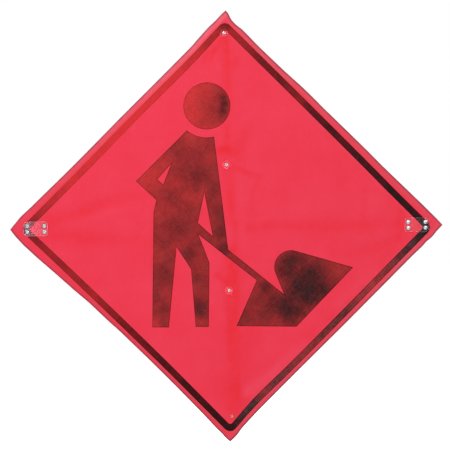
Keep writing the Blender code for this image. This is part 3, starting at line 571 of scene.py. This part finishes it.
def along(tree, vector, direction):
    """Distance along a direction."""
    return add_node(tree, "VectorMath", {0: vector, 1: direction}, operation="DOT_PRODUCT").outputs["Value"]


def length_of(tree, vector):
    """A vector's length."""
    return add_node(tree, "VectorMath", {0: vector}, operation="LENGTH").outputs["Value"]


def on_object(tree):
    """Position on the object at rest."""
    return add_node(tree, "TexCoord").outputs["Object"]


def place(tree):
    """Position on the object at rest, measured from the sign's centre."""
    return vectors(tree, "SUBTRACT", on_object(tree), (0, 0, CENTRE_Z))


def drawn_out(tree, vector, run, across, scales):
    """Position for a noise that is drawn out along one direction in the face."""
    x = sums(tree, "MULTIPLY", along(tree, vector, run), scales[0])
    y = sums(tree, "MULTIPLY", along(tree, vector, across), scales[1])
    return add_node(tree, "CombineXYZ", {"X": x, "Y": y}).outputs[0]


def vertex_value(tree, name):
    """A number that the vertices keep."""
    return add_node(tree, "Attribute", attribute_name=name).outputs["Fac"]


def cloud(tree, vector, size, detail=2.0, roughness=0.5):
    """Soft noise, from 0 to 1, whose blotches have the given size in metres."""
    inputs = {"Vector": vector, "Scale": 1 / size, "Detail": detail, "Roughness": roughness}
    return add_node(tree, "TexNoise", inputs).outputs["Fac"]


def spread(tree, value, low, high, to_low=0.0, to_high=1.0, kind="SMOOTHSTEP"):
    """Map a value from one range to another, without leaving it."""
    inputs = {"Value": value, "From Min": low, "From Max": high, "To Min": to_low, "To Max": to_high}
    return add_node(tree, "MapRange", inputs, interpolation_type=kind).outputs["Result"]


def patches(tree, vector, row):
    """An uneven finish, from one of the rows above."""
    size, detail, roughness, *ranges = row
    return spread(tree, cloud(tree, vector, size, detail, roughness), *ranges)


def colour_mix(tree, factor, *colours):
    """Mix two colours. The Mix node's colour sockets are inputs 6 and 7 and output 2."""
    first, second = (c if isinstance(c, bpy.types.NodeSocket) else (*c, 1) for c in colours)
    return add_node(tree, "Mix", {0: factor, 6: first, 7: second}, data_type="RGBA").outputs[2]


def colour_ramp(tree, factor, stops):
    """Read a colour from a list of (share, colour)."""
    node = add_node(tree, "ValToRGB", {"Fac": factor})
    ramp = node.color_ramp
    while len(ramp.elements) < len(stops):
        ramp.elements.new(0.5)
    for element, (share, colour) in zip(ramp.elements, stops):
        element.position = share
        element.color = (*colour, 1)
    return node.outputs["Color"]


def add_bump(tree, shader, height, distance):
    """Give a shader a bump."""
    bump = add_node(tree, "Bump", {"Height": height, "Distance": distance})
    tree.links.new(bump.outputs["Normal"], shader.inputs["Normal"])


def outline_distance(tree, centred, half, radius):
    """Distance of a place from a rounded rectangle's outline, below 0 inside it."""
    core = tuple(value - radius for value in half)
    beyond = vectors(tree, "SUBTRACT", vectors(tree, "ABSOLUTE", centred), core)
    level = vectors(tree, "MULTIPLY", vectors(tree, "MAXIMUM", beyond), IN_FACE)
    return sums(tree, "SUBTRACT", length_of(tree, level), radius)


# Materials


def threads(tree, vector):
    """Raised threads of the cloth, which run along the face's sides."""
    drift = sums(tree, "MULTIPLY", cloud(tree, vector, *THREAD_DRIFT_NOISE), THREAD_DRIFT)
    layers = []
    for pitch, power, weight in THREADS:
        lines = []
        for direction in THREAD_RUNS:
            across = sums(tree, "ADD", along(tree, vector, direction), drift)
            wave = sums(tree, "COSINE", sums(tree, "MULTIPLY", across, math.pi / pitch))
            lines.append(sums(tree, "POWER", sums(tree, "MULTIPLY", wave, wave), power))
        layers.append(sums(tree, "MULTIPLY", sums(tree, "MAXIMUM", *lines), weight))
    return sums(tree, "MAXIMUM", *layers)


def fabric_material():
    """Coated red cloth: threads, slow tone changes, darker edges, painted shade and painted highlight along
    its folds and margins, and painted shade between its threads.
    """
    material, tree, shader = new_material("face_fabric_cloth")
    spot = place(tree)
    weave = threads(tree, spot)
    colour = colour_mix(tree, patches(tree, spot, CLOTH_TONE), *CLOTH_COLOURS)
    colour = colour_mix(tree, patches(tree, spot, CLOTH_GRIT), colour, GRIT_COLOUR)
    # Painted shade and painted highlight at the margins and along the folds
    for name, direction, tint in PAINTED_LIGHT_TINTS:
        amount = sums(tree, "MULTIPLY", vertex_value(tree, name), direction, clamp=True)
        uneven = sums(tree, "MULTIPLY", amount, patches(tree, spot, PAINTED_TINT_PATCHES), clamp=True)
        colour = colour_mix(tree, uneven, colour, tint)
    # painted shade between the threads
    hollow_shade = spread(tree, weave, 0.0, 1.0, HOLLOW_SHADE, 0.0)
    colour = colour_mix(tree, hollow_shade, colour, HOLLOW_SHADE_COLOUR)
    # darker along the edges
    edge_dark = sums(tree, "MULTIPLY", vertex_value(tree, "edge"), patches(tree, spot, CLOTH_EDGE_DARKENING))
    colour = colour_mix(tree, edge_dark, colour, EDGE_DARK_COLOUR)
    tree.links.new(colour, shader.inputs["Base Color"])
    tree.links.new(patches(tree, spot, CLOTH_ROUGHNESS), shader.inputs["Roughness"])
    shader.inputs["Specular IOR Level"].default_value = CLOTH_SPECULAR
    add_bump(tree, shader, weave, CLOTH_BUMP)
    return material


# Ink density, 0 to 1: at even steps along each side of the border. Then how strong the painted sheen over
# each side is, and where that fades out, as shares of the side from its middle.
BORDER_INK = (
    (0.80, 0.44, 0.32, 0.16, 0.12, 0.09, 0.05, 0.04, 0.04, 0.03, 0.03, 0.08, 0.12, 0.20, 0.30, 0.38, 0.95),
    (0.95, 0.38, 0.48, 0.68, 0.74, 0.66, 0.66, 0.74, 0.86, 0.83, 0.86, 0.87, 0.94, 0.93, 0.94, 0.95, 1.02),
    (1.06, 0.98, 0.90, 0.68, 0.60, 0.46, 0.56, 0.77, 0.72, 0.62, 0.54, 0.66, 0.70, 0.62, 0.92, 0.96, 1.02),
    (1.02, 0.92, 0.90, 0.93, 0.86, 0.82, 0.78, 0.69, 0.68, 0.59, 0.45, 0.44, 0.45, 0.46, 0.44, 0.56, 0.80),
)
BORDER_PAINTED_SHEEN = (0.10, 0.10, 0.90, 0.00)
SHEEN_FADE_START, SHEEN_FADE_END = 0.38, 0.47

# Ink density of the figure: a base, then places where it lies thicker or thinner, as right, up, radius
# and amount, which is full within the BLOB_CORE share of the radius
HEAD_INK = (
    (-0.012, 0.404, 0.024, 0.12),
    (-0.002, 0.380, 0.026, 0.38),
    (-0.006, 0.357, 0.026, 0.33),
    (-0.004, 0.332, 0.032, 0.24),
    (-0.022, 0.358, 0.050, 0.12),
    (-0.050, 0.330, 0.060, 0.10),
    (-0.112, 0.390, 0.060, -0.08),
    (-0.090, 0.330, 0.040, -0.04),
    (-0.020, 0.406, 0.046, 0.17),
    (-0.036, 0.326, 0.036, 0.08),
    (-0.062, 0.380, 0.050, 0.07),
    (-0.018, 0.382, 0.026, 0.08),
    (-0.014, 0.352, 0.024, 0.03),
    (-0.080, 0.312, 0.030, 0.06),
)
BODY_INK = (
    (-0.090, 0.280, 0.060, -0.22),
    (-0.235, 0.160, 0.090, -0.30),
    (-0.180, 0.203, 0.040, -0.12),
    (-0.140, 0.185, 0.060, 0.04),
    (-0.078, 0.155, 0.040, 0.15),
    (-0.095, 0.100, 0.050, -0.16),
    (-0.222, 0.040, 0.050, -0.16),
    (-0.222, -0.070, 0.050, -0.12),
    (-0.190, 0.080, 0.035, -0.08),
    (-0.010, 0.040, 0.050, 0.14),
    (-0.014, -0.012, 0.040, 0.16),
    (-0.040, 0.115, 0.035, 0.06),
    (-0.128, -0.004, 0.040, 0.09),
    (-0.100, -0.035, 0.040, -0.04),
    (-0.118, -0.082, 0.036, 0.13),
    (-0.158, -0.060, 0.025, -0.10),
    (-0.185, -0.135, 0.045, 0.16),
    (-0.186, -0.200, 0.026, -0.08),
    (-0.220, -0.205, 0.026, 0.06),
    (-0.190, -0.244, 0.024, 0.10),
    (-0.222, -0.290, 0.030, -0.24),
    (-0.100, -0.190, 0.030, -0.10),
    (-0.082, -0.242, 0.040, 0.24),
    (-0.090, -0.285, 0.030, -0.10),
    (0.050, -0.110, 0.060, 0.05),
    (0.060, -0.255, 0.050, 0.12),
    (0.114, -0.180, 0.030, 0.22),
    (0.150, -0.235, 0.055, 0.30),
    (0.188, -0.238, 0.050, 0.22),
    (0.200, -0.120, 0.065, 0.36),
    (0.262, -0.180, 0.085, 0.46),
    (0.225, -0.170, 0.040, 0.10),
    (0.230, -0.258, 0.035, 0.04),
    (0.350, -0.110, 0.060, -0.12),
    (-0.090, 0.121, 0.034, 0.09),
    (-0.178, 0.094, 0.034, 0.09),
    (-0.198, -0.050, 0.040, 0.08),
    (-0.090, -0.045, 0.034, 0.07),
    (-0.008, -0.068, 0.030, 0.26),
    (-0.171, -0.122, 0.026, -0.08),
    (0.152, -0.130, 0.032, 0.14),
    (0.190, -0.188, 0.038, 0.27),
    (0.216, -0.130, 0.038, -0.24),
    (0.232, -0.162, 0.032, -0.11),
    (0.236, -0.216, 0.036, 0.18),
    (0.268, -0.112, 0.028, 0.14),
    (0.299, -0.168, 0.032, -0.11),
    (0.163, -0.224, 0.032, -0.11),
    (0.072, -0.252, 0.030, -0.06),
    (0.110, -0.262, 0.045, 0.04),
    (0.350, -0.115, 0.050, 0.06),
    (-0.112, 0.262, 0.030, -0.07),
    (-0.046, 0.204, 0.034, -0.13),
    (-0.069, 0.112, 0.020, -0.08),
    (-0.152, 0.134, 0.036, -0.11),
    (-0.092, 0.116, 0.024, 0.11),
    (-0.166, 0.046, 0.028, -0.15),
    (-0.095, -0.050, 0.024, 0.06),
    (-0.084, -0.146, 0.030, 0.10),
    (-0.073, -0.268, 0.024, 0.08),
    (0.240, -0.138, 0.030, 0.15),
    (0.168, -0.149, 0.028, 0.12),
    (0.184, -0.272, 0.044, 0.18),
    (0.216, -0.254, 0.028, 0.13),
    (0.108, -0.268, 0.030, 0.08),
    (-0.168, -0.002, 0.036, 0.08),
    (-0.096, -0.100, 0.022, -0.07),
    (-0.094, 0.072, 0.022, -0.07),
    (-0.092, 0.225, 0.030, -0.04),
    (0.172, -0.100, 0.022, 0.09),
    (0.246, -0.218, 0.034, 0.08),
    (0.096, -0.214, 0.034, 0.10),
    (0.214, -0.100, 0.020, -0.05),
    (0.158, -0.212, 0.018, 0.08),
    (0.174, -0.131, 0.016, -0.08),
)
HEAD_BASE, BODY_BASE = 0.19, 0.49
FIGURE_DEEPEST = 0.90
# how strong the painted sheen over the figure is
FIGURE_PAINTED_SHEEN = 0.36
INK_COLOURS = (
    (0.00, (0.640, 0.027, 0.032)),
    (0.25, (0.405, 0.020, 0.021)),
    (0.50, (0.250, 0.013, 0.015)),
    (0.75, (0.102, 0.006, 0.007)),
    (0.94, (0.028, 0.004, 0.005)),
    (1.00, (0.014, 0.0045, 0.005)),
)
INK_STRENGTH = 1.08
INK_ON_THREADS, INK_AT_RIM = -0.10, 0.20
# How fine the ink's streaks and scratches are, along and across, and the directions of the scratches
STREAK_SCALES = (30, 300)
SCRATCH_SCALES = (10, 300)
SCRATCH_RUNS = ((0.56, 0.83), (0.62, -0.78), (0.80, 0.60))
# The whitish veil of painted sheen over the ink: its strength between and on the threads, and how it ends
# at the rim
SHEEN_ON_THREADS = (0.45, 1.9)
SHEEN_AT_RIM = (0.1, 0.7, 1.0, 0.15)
PAINTED_SHEEN_COLOUR = (0.70, 0.62, 0.62)
INK_SPECULAR = 0.06
INK_BUMP = 0.00010


def blobs(base, places):
    """A reader of the ink's density and of its painted sheen at places in the figure."""

    def density(points):
        total = np.full(len(points), base)
        for right, up, radius, amount in places:
            away = np.hypot(points[:, 0] - right, points[:, 1] - up)
            total += amount * (1 - smooth(away, BLOB_CORE * radius, radius))
        return np.minimum(total, FIGURE_DEEPEST), np.full(len(points), FIGURE_PAINTED_SHEEN)

    return density


def border_density(points):
    """Ink density of places on the border, and how strong the painted sheen is there."""
    nearest = np.argmax(points @ SIDE_NORMALS.T, axis=1)
    total = np.zeros(len(points))
    haze = np.zeros(len(points))
    for side, densities in enumerate(BORDER_INK):
        share = along_side(side, points)
        steps = np.linspace(0, 1, len(densities))
        total = np.where(nearest == side, np.interp(share, steps, densities), total)
        fade = 1 - smooth(abs(share - 0.5), SHEEN_FADE_START, SHEEN_FADE_END)
        haze = np.where(nearest == side, BORDER_PAINTED_SHEEN[side] * fade, haze)
    return total, haze


def ink_material(name):
    """Thin black ink, worn through on the threads, that the cloth shows through where it is thin, with
    painted sheen.
    """
    material, tree, shader = new_material(name)
    spot = place(tree)
    weave = threads(tree, spot)
    rim = vertex_value(tree, "rim")
    parts = [
        patches(tree, spot, INK_BLOTCHES),
        sums(tree, "MULTIPLY", weave, INK_ON_THREADS),
        sums(tree, "MULTIPLY", rim, INK_AT_RIM),
    ]
    for run, across in (THREAD_RUNS, THREAD_RUNS[::-1]):
        parts.append(patches(tree, drawn_out(tree, spot, run, across, STREAK_SCALES), INK_STREAKS))
    parts.append(patches(tree, spot, INK_GRAIN))
    for x, z in SCRATCH_RUNS:
        scratched = drawn_out(tree, spot, (x, 0, z), (z, 0, -x), SCRATCH_SCALES)
        parts.append(patches(tree, scratched, INK_SCRATCHES))
    density = sums(tree, "MULTIPLY", vertex_value(tree, "ink"), INK_STRENGTH)
    for part in parts:
        density = sums(tree, "ADD", density, part)
    # painted sheen: a whitish veil mixed into the ink's colour
    painted_sheen = sums(tree, "MULTIPLY", vertex_value(tree, "haze"), patches(tree, spot, INK_SHEEN_PATCHES))
    painted_sheen = sums(tree, "MULTIPLY", painted_sheen, spread(tree, weave, 0.0, 1.0, *SHEEN_ON_THREADS, "LINEAR"))
    painted_sheen = sums(tree, "MULTIPLY", painted_sheen, spread(tree, rim, *SHEEN_AT_RIM))
    colour = colour_mix(tree, painted_sheen, colour_ramp(tree, density, INK_COLOURS), PAINTED_SHEEN_COLOUR)
    tree.links.new(colour, shader.inputs["Base Color"])
    tree.links.new(patches(tree, spot, INK_ROUGHNESS), shader.inputs["Roughness"])
    shader.inputs["Specular IOR Level"].default_value = INK_SPECULAR
    add_bump(tree, shader, weave, INK_BUMP)
    return material


def clear_material(node_name):
    """Clear plastic with fine scratches, a little haze and a milky cut edge."""
    material, tree, shader = new_material(f"clear_{node_name}")
    low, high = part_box(node_name)
    radii = PLATE_RADII.get(node_name, OTHER_RADII)
    haze, rim_haze = PLATE_MILK.get(node_name, OTHER_MILK)
    spot = on_object(tree)
    centred = vectors(tree, "SUBTRACT", spot, (low + high) / 2)
    left, right = (outline_distance(tree, centred, (high - low) / 2, radius) for radius in radii)
    on_right = sums(tree, "GREATER_THAN", along(tree, centred, (1, 0, 0)), 0.0)
    further = sums(tree, "MULTIPLY", on_right, sums(tree, "SUBTRACT", right, left))
    rim = spread(tree, sums(tree, "ADD", left, further), -MILKY_RIM, -MILKY_RIM_FULL)
    scratches = patches(tree, vectors(tree, "MULTIPLY", spot, CLEAR_STRETCH), CLEAR_ROUGHNESS)
    rough = sums(tree, "ADD", scratches, sums(tree, "MULTIPLY", rim, RIM_ROUGHNESS))
    tree.links.new(rough, shader.inputs["Roughness"])
    tint = colour_mix(tree, patches(tree, spot, CLEAR_CLOUDING), *CLEAR_COLOURS)
    tree.links.new(colour_mix(tree, rim, tint, RIM_COLOUR), shader.inputs["Base Color"])
    clear = spread(tree, rim, 0.0, 1.0, 1.0 - haze, 1.0 - haze - rim_haze, "LINEAR")
    tree.links.new(clear, shader.inputs["Transmission Weight"])
    shader.inputs["IOR"].default_value = WASHER_IOR if "washer" in node_name else PLATE_IOR
    return material


def metal_material(name, bright, dark, low_rough, high_rough):
    """Bare metal with fine marks, random tarnish, and painted shade that darkens it round its rim."""
    material, tree, shader = new_material(name)
    texture = add_node(tree, "TexCoord").outputs
    spot = texture["Object"]
    centred = vectors(tree, "SUBTRACT", texture["Generated"], (0.5, 0.5, 0.5))
    # painted shade: darker towards the rim
    rim = spread(tree, length_of(tree, vectors(tree, "MULTIPLY", centred, IN_FACE)), *RIM_PAINTED_SHADE)
    tarnish = sums(tree, "MULTIPLY", patches(tree, spot, METAL_TARNISH), TARNISH_STRENGTH)
    colour = colour_mix(tree, sums(tree, "MAXIMUM", rim, tarnish), bright, dark)
    tree.links.new(colour, shader.inputs["Base Color"])
    rough = patches(tree, spot, (*METAL_MARKS, low_rough, high_rough))
    tree.links.new(rough, shader.inputs["Roughness"])
    shader.inputs["Metallic"].default_value = 1.0
    add_bump(tree, shader, cloud(tree, spot, *METAL_GRAIN), METAL_BUMP)
    return material


def fibreglass_material(name, length_axis):
    """Pultruded fibreglass: glass strands along the bar in a greenish cream resin."""
    material, tree, shader = new_material(name)
    spot = place(tree)
    stretch = tuple(STRAND_ALONG if axis == length_axis else STRAND_ACROSS for axis in "xyz")
    strands = cloud(tree, vectors(tree, "MULTIPLY", spot, stretch), *STRAND_NOISE)
    resin = colour_mix(tree, patches(tree, spot, RESIN_PATCHES), *RESIN_COLOURS)
    colour = colour_mix(tree, spread(tree, strands, *STRAND_SHOWS), resin, STRAND_COLOUR)
    tree.links.new(colour, shader.inputs["Base Color"])
    tree.links.new(spread(tree, strands, *STRAND_ROUGHNESS), shader.inputs["Roughness"])
    add_bump(tree, shader, strands, STRAND_BUMP)
    return material


def nylon_material():
    """Moulded white nylon."""
    material, tree, shader = new_material("white_nylon_moulded")
    spot = place(tree)
    colour = colour_mix(tree, cloud(tree, spot, *NYLON_NOISE), *NYLON_COLOURS)
    tree.links.new(colour, shader.inputs["Base Color"])
    shader.inputs["Roughness"].default_value = NYLON_ROUGHNESS
    shader.inputs["Subsurface Weight"].default_value = NYLON_SUBSURFACE
    add_bump(tree, shader, cloud(tree, spot, *NYLON_GRAIN), NYLON_BUMP)
    return material


# Fabric face


def face_verts(points, depth):
    """World positions of places on the face at their depths."""
    return np.column_stack((points[:, 0], depth, points[:, 1] + CENTRE_Z))


def strip_points(side, inset, shares):
    """Places along a side at an inset from it, mitred at both ends."""
    start = -SIDE_TANGENTS[side] * SIGN_SIDE / 2 + SIDE_NORMALS[side] * SIGN_SIDE / 2
    reach = inset + shares * (SIGN_SIDE - 2 * inset)
    return start + reach[:, None] * SIDE_TANGENTS[side] - inset * SIDE_NORMALS[side]


def margin_tones(points):
    """Painted shade (dull) and painted highlight (pale) of the face's margins, where the cloth is folded
    double.
    """
    tones = np.zeros((2, len(points)))
    for side in range(len(SIDE_NORMALS)):
        share = along_side(side, points)
        inside = 1 - smooth(side_distance(side, points), MARGIN_START, MARGIN_END)
        for tone, table in zip(tones, (MARGIN_PAINTED_SHADE, MARGIN_PAINTED_HIGHLIGHT)):
            steps = np.linspace(0, 1, len(table[side]))
            np.maximum(tone, np.interp(share, steps, table[side]) * inside, out=tone)
    return tones


def hem_profile():
    """Rows of the hem, in its fold and then flat: how far in from the edge, and how far back."""
    radius = HEM_DEPTH / 2
    profile = []
    for step in range(1, HEM_FOLD_STEPS + 1):
        angle = math.pi * step / HEM_FOLD_STEPS
        profile.append((radius * (1 - math.sin(angle)), radius * (1 - math.cos(angle))))
    for step in range(1, HEM_ROWS + 1):
        profile.append((radius + (HEM_WIDTH - radius) * step / HEM_ROWS, HEM_DEPTH))
    return profile


def make_fabric():
    """The face as one cloth: a grid along its sides, folded back into a hem round all four."""
    fold_radius = HEM_DEPTH / 2
    row = FACE_CELLS + 1
    shares = np.linspace(0, 1, row)
    reach = fold_radius + shares * (SIGN_SIDE - 2 * fold_radius) - SIGN_SIDE / 2
    up, down = np.meshgrid(reach, reach, indexing="ij")
    points = follow_edges(up.reshape(-1, 1) * SIDE_TANGENTS[0] + down.reshape(-1, 1) * SIDE_TANGENTS[1])
    verts = [face_verts(points, face_depth(points))]
    # painted shade (dull) and painted highlight (pale) of the margins
    dull, pale = margin_tones(points)
    values = {
        "edge": [1 - smooth(edge_distance(points), EDGE_DARK_START, EDGE_DARK_END)],
        # painted shade of the folds, painted highlight below 0
        "painted_fold_shade": [fold_sums(points)[1]],
        "dull": [dull],
        "pale": [pale],
    }
    faces = []
    for i in range(FACE_CELLS):
        for first in range(i * row, i * row + FACE_CELLS):
            faces.append((first, first + 1, first + row + 1, first + row))
    borders = (
        [i * row for i in range(row)],
        [FACE_CELLS * row + j for j in range(row)],
        [i * row + FACE_CELLS for i in range(FACE_CELLS, -1, -1)],
        list(range(FACE_CELLS, -1, -1)),
    )
    count = row * row
    for side, before in enumerate(borders):
        for inset, back in hem_profile():
            points = follow_edges(strip_points(side, inset, shares))
            inner = follow_edges(strip_points(side, max(inset, fold_radius), shares))
            verts.append(face_verts(points, face_depth(inner) + back))
            values["edge"].append(np.full(row, 1.0 if inset < fold_radius else 0.0))
            for name in ("painted_fold_shade", "dull", "pale"):
                values[name].append(np.zeros(row))
            after = list(range(count, count + row))
            for k in range(FACE_CELLS):
                faces.append((before[k], before[k + 1], after[k + 1], after[k]))
            before = after
            count += row
    obj = add_mesh("face_cloth", np.concatenate(verts), faces)
    for name, parts in values.items():
        add_values(obj, name, np.concatenate(parts))
    bm = bmesh.new()
    bm.from_mesh(obj.data)
    bmesh.ops.remove_doubles(bm, verts=bm.verts, dist=MERGE_DISTANCE)
    turn_front(bm)
    bm.to_mesh(obj.data)
    bm.free()
    finish_sheet(obj, FABRIC_THICKNESS, fabric_material(), "sign_fabric")


# Print


def fill_rivet_holes(bm):
    """Close the holes round the rivets' shanks, and return the faces that close them."""
    shanks = [sum(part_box(name), Vector()) / 2 for name in frame["nodes"] if "rivet" in name]
    edges = []
    for edge in bm.edges:
        middle = (edge.verts[0].co + edge.verts[1].co) / 2
        away = [math.hypot(middle.x - shank.x, middle.z + CENTRE_Z - shank.z) for shank in shanks]
        if edge.is_boundary and min(away) < RIVET_HOLE_REACH:
            edges.append(edge)
    return bmesh.ops.edgeloop_fill(bm, edges=edges)["faces"] if edges else []


def refill(bm, rim_faces, closed):
    """Fill a shape inside its rim with fresh triangles, round the rivets' holes."""
    outside = set(rim_faces) | set(closed)
    inside = [face for face in bm.faces if face not in outside]
    outline = {edge for face in inside for edge in face.edges if outside.intersection(edge.link_faces)}
    bmesh.ops.delete(bm, geom=inside + list(closed), context="FACES_ONLY")
    loose = [edge for edge in bm.edges if edge.is_wire and edge not in outline]
    bmesh.ops.delete(bm, geom=loose, context="EDGES")
    bmesh.ops.triangle_fill(bm, edges=list(outline), use_beauty=True, normal=(0, -1, 0))


def cut_to_cells(bm):
    """Cut a flat shape along the lines of the face's cells."""
    for across, up in SIDE_TANGENTS[:2]:
        for step in range(1, FACE_CELLS):
            reach = SIGN_SIDE * (step / FACE_CELLS - 0.5)
            plane = (across * reach, 0, up * reach)
            geometry = bm.verts[:] + bm.edges[:] + bm.faces[:]
            bmesh.ops.bisect_plane(
                bm, geom=geometry, dist=CUT_TOLERANCE, plane_co=plane, plane_no=(across, 0, up)
            )


def make_print(node_name, name, density, rim_width):
    """A printed shape, from its packed outline, cut fine and laid on the face."""
    bm = bmesh.new()
    bm.from_mesh(frame["nodes"][node_name].data)
    bmesh.ops.remove_doubles(bm, verts=bm.verts, dist=CUT_TOLERANCE)
    rest = [face for face in bm.faces if face.normal.y > FRONT_NORMAL]
    bmesh.ops.delete(bm, geom=rest, context="FACES")
    for vert in bm.verts:
        vert.co.y = 0
        vert.co.z -= CENTRE_Z
    rim = bm.verts.layers.float.new("rim")
    closed = fill_rivet_holes(bm)
    turn_front(bm)
    rim_faces = bmesh.ops.inset_region(
        bm, faces=bm.faces[:], thickness=rim_width, use_boundary=True, use_even_offset=True
    )["faces"]
    for vert in bm.verts:
        vert[rim] = 1.0 if vert.is_boundary else 0.0
    refill(bm, rim_faces, closed)
    bmesh.ops.triangulate(bm, faces=bm.faces[:])
    cut_to_cells(bm)
    points = np.array([(vert.co.x, vert.co.z) for vert in bm.verts])
    for vert, depth in zip(bm.verts, face_depth(points)):
        vert.co.y = depth - INK_GAP
        vert.co.z += CENTRE_Z
    obj = add_mesh(name, [], [])
    bm.to_mesh(obj.data)
    bm.free()
    # haze is how strong the painted sheen over the ink is
    ink, haze = density(points)
    add_values(obj, "ink", ink)
    add_values(obj, "haze", haze)
    finish_sheet(obj, INK_THICKNESS, ink_material(f"black_ink_{name}"), node_name)


# Surroundings


def seen_rays(tree):
    """1 for what the eye, gloss and glass see, 0 for light that falls on things."""
    ray = add_node(tree, "LightPath").outputs
    seen = sums(tree, "MAXIMUM", ray["Is Camera Ray"], ray["Is Glossy Ray"])
    return sums(tree, "MAXIMUM", seen, ray["Is Transmission Ray"])


def matt_material(name, blotch, colours):
    """A matt, slightly uneven surface of the studio."""
    material, tree, shader = new_material(name)
    colour = colour_mix(tree, cloud(tree, on_object(tree), blotch), *colours)
    tree.links.new(colour, shader.inputs["Base Color"])
    shader.inputs["Roughness"].default_value = MATT_ROUGHNESS
    return material, tree, shader


def make_floor():
    """Pale floor under the sign, well below its lowest tip, white to the eye but for the shadow."""
    centre = (0, 0, cad_low.z - FLOOR_DROP)
    floor = add_rectangle("floor", centre, (FLOOR_REACH, 0, 0), (0, FLOOR_REACH, 0))
    material, tree, shader = matt_material("floor_paint", FLOOR_BLOTCH, FLOOR_COLOURS)
    shader.inputs["Emission Color"].default_value = WHITE
    glow = sums(tree, "MULTIPLY", seen_rays(tree), FLOOR_GLOW)
    tree.links.new(glow, shader.inputs["Emission Strength"])
    floor.data.materials.append(material)


def make_world():
    """White surroundings for the eye, for gloss and for glass, and softer light from them."""
    world = bpy.data.worlds.new("studio")
    bpy.context.scene.world = world
    world.use_nodes = True
    tree = world.node_tree
    background = tree.nodes["Background"]
    strength = spread(tree, seen_rays(tree), 0.0, 1.0, WORLD_LIGHT, 1.0, "LINEAR")
    tree.links.new(strength, background.inputs["Strength"])
    background.inputs["Color"].default_value = WHITE


def face_sign(obj, location, front, up):
    """Place an object and turn its front to the sign's centre."""
    obj.location = location
    obj.rotation_euler = (Vector((0, 0, CENTRE_Z)) - Vector(location)).to_track_quat(front, up).to_euler()


def add_lamp(name, location, size, power, colour):
    """A square soft lamp."""
    lamp = bpy.data.lights.new(name, "AREA")
    lamp.size = size
    lamp.energy = power
    lamp.color = colour
    obj = bpy.data.objects.new(name, lamp)
    bpy.context.scene.collection.objects.link(obj)
    face_sign(obj, location, "-Z", "Y")
    obj.visible_camera = False


def add_dark_card(name, location, width, height):
    """Dark card for the domed rivet heads to show, which no other light meets."""
    card = add_rectangle(name, (0, 0, 0), (width / 2, 0, 0), (0, 0, height / 2))
    face_sign(card, location, "-Y", "Z")
    card.data.materials.append(matt_material(f"{name}_felt", CARD_BLOTCH, CARD_COLOURS)[0])
    card.visible_camera = False
    card.visible_diffuse = False
    card.visible_transmission = False
    card.visible_shadow = False


def make_camera():
    """Straight on, turned so that the sign leans in the picture as it does in the photograph."""
    data = bpy.data.cameras.new("camera")
    data.sensor_width = SENSOR_WIDTH
    data.lens = SENSOR_WIDTH * CAMERA_DISTANCE / (IMAGE_WIDTH_PX * METRES_PER_PX)
    camera = bpy.data.objects.new("camera", data)
    bpy.context.scene.collection.objects.link(camera)
    bpy.context.scene.camera = camera
    right = (IMAGE_WIDTH_PX / 2 - SIGN_CENTRE_PX[0]) * METRES_PER_PX
    up = (SIGN_CENTRE_PX[1] - IMAGE_WIDTH_PX / 2) * METRES_PER_PX
    x = right * math.cos(SIGN_TURN) + up * math.sin(SIGN_TURN)
    z = up * math.cos(SIGN_TURN) - right * math.sin(SIGN_TURN)
    camera.location = (x, -CAMERA_DISTANCE, CENTRE_Z + z)
    camera.rotation_euler = (math.pi / 2, SIGN_TURN, 0)


def finish_nodes():
    """Give every carried-over node its material."""
    slots = {row["node"]: row["material_slot"] for row in frame["record"]["subparts"]}
    by_node = {
        "vertical_rib": fibreglass_material("fibreglass_upright", "z"),
        "cross_rib": fibreglass_material("fibreglass_level", "x"),
    }
    by_slot = {slot: metal_material(*row) for slot, row in METALS.items()}
    by_slot["white_nylon"] = nylon_material()
    for name, obj in frame["nodes"].items():
        if slots[name] == "clear_plastic":
            obj.material_slots[0].material = clear_material(name)
        elif name in by_node or slots[name] in by_slot:
            obj.material_slots[0].material = by_node.get(name) or by_slot[slots[name]]


bpy.context.scene.view_settings.view_transform = "Standard"
make_camera()
make_world()
make_floor()
for lamp_row in LAMPS:
    add_lamp(*lamp_row)
for card_row in DARK_CARDS:
    add_dark_card(*card_row)
make_fabric()
make_print("border_print", "border_ink", border_density, BORDER_RIM)
make_print("worker_head_print", "worker_head_ink", blobs(HEAD_BASE, HEAD_INK), FIGURE_RIM)
make_print("worker_body_print", "worker_body_ink", blobs(BODY_BASE, BODY_INK), FIGURE_RIM)
finish_nodes()
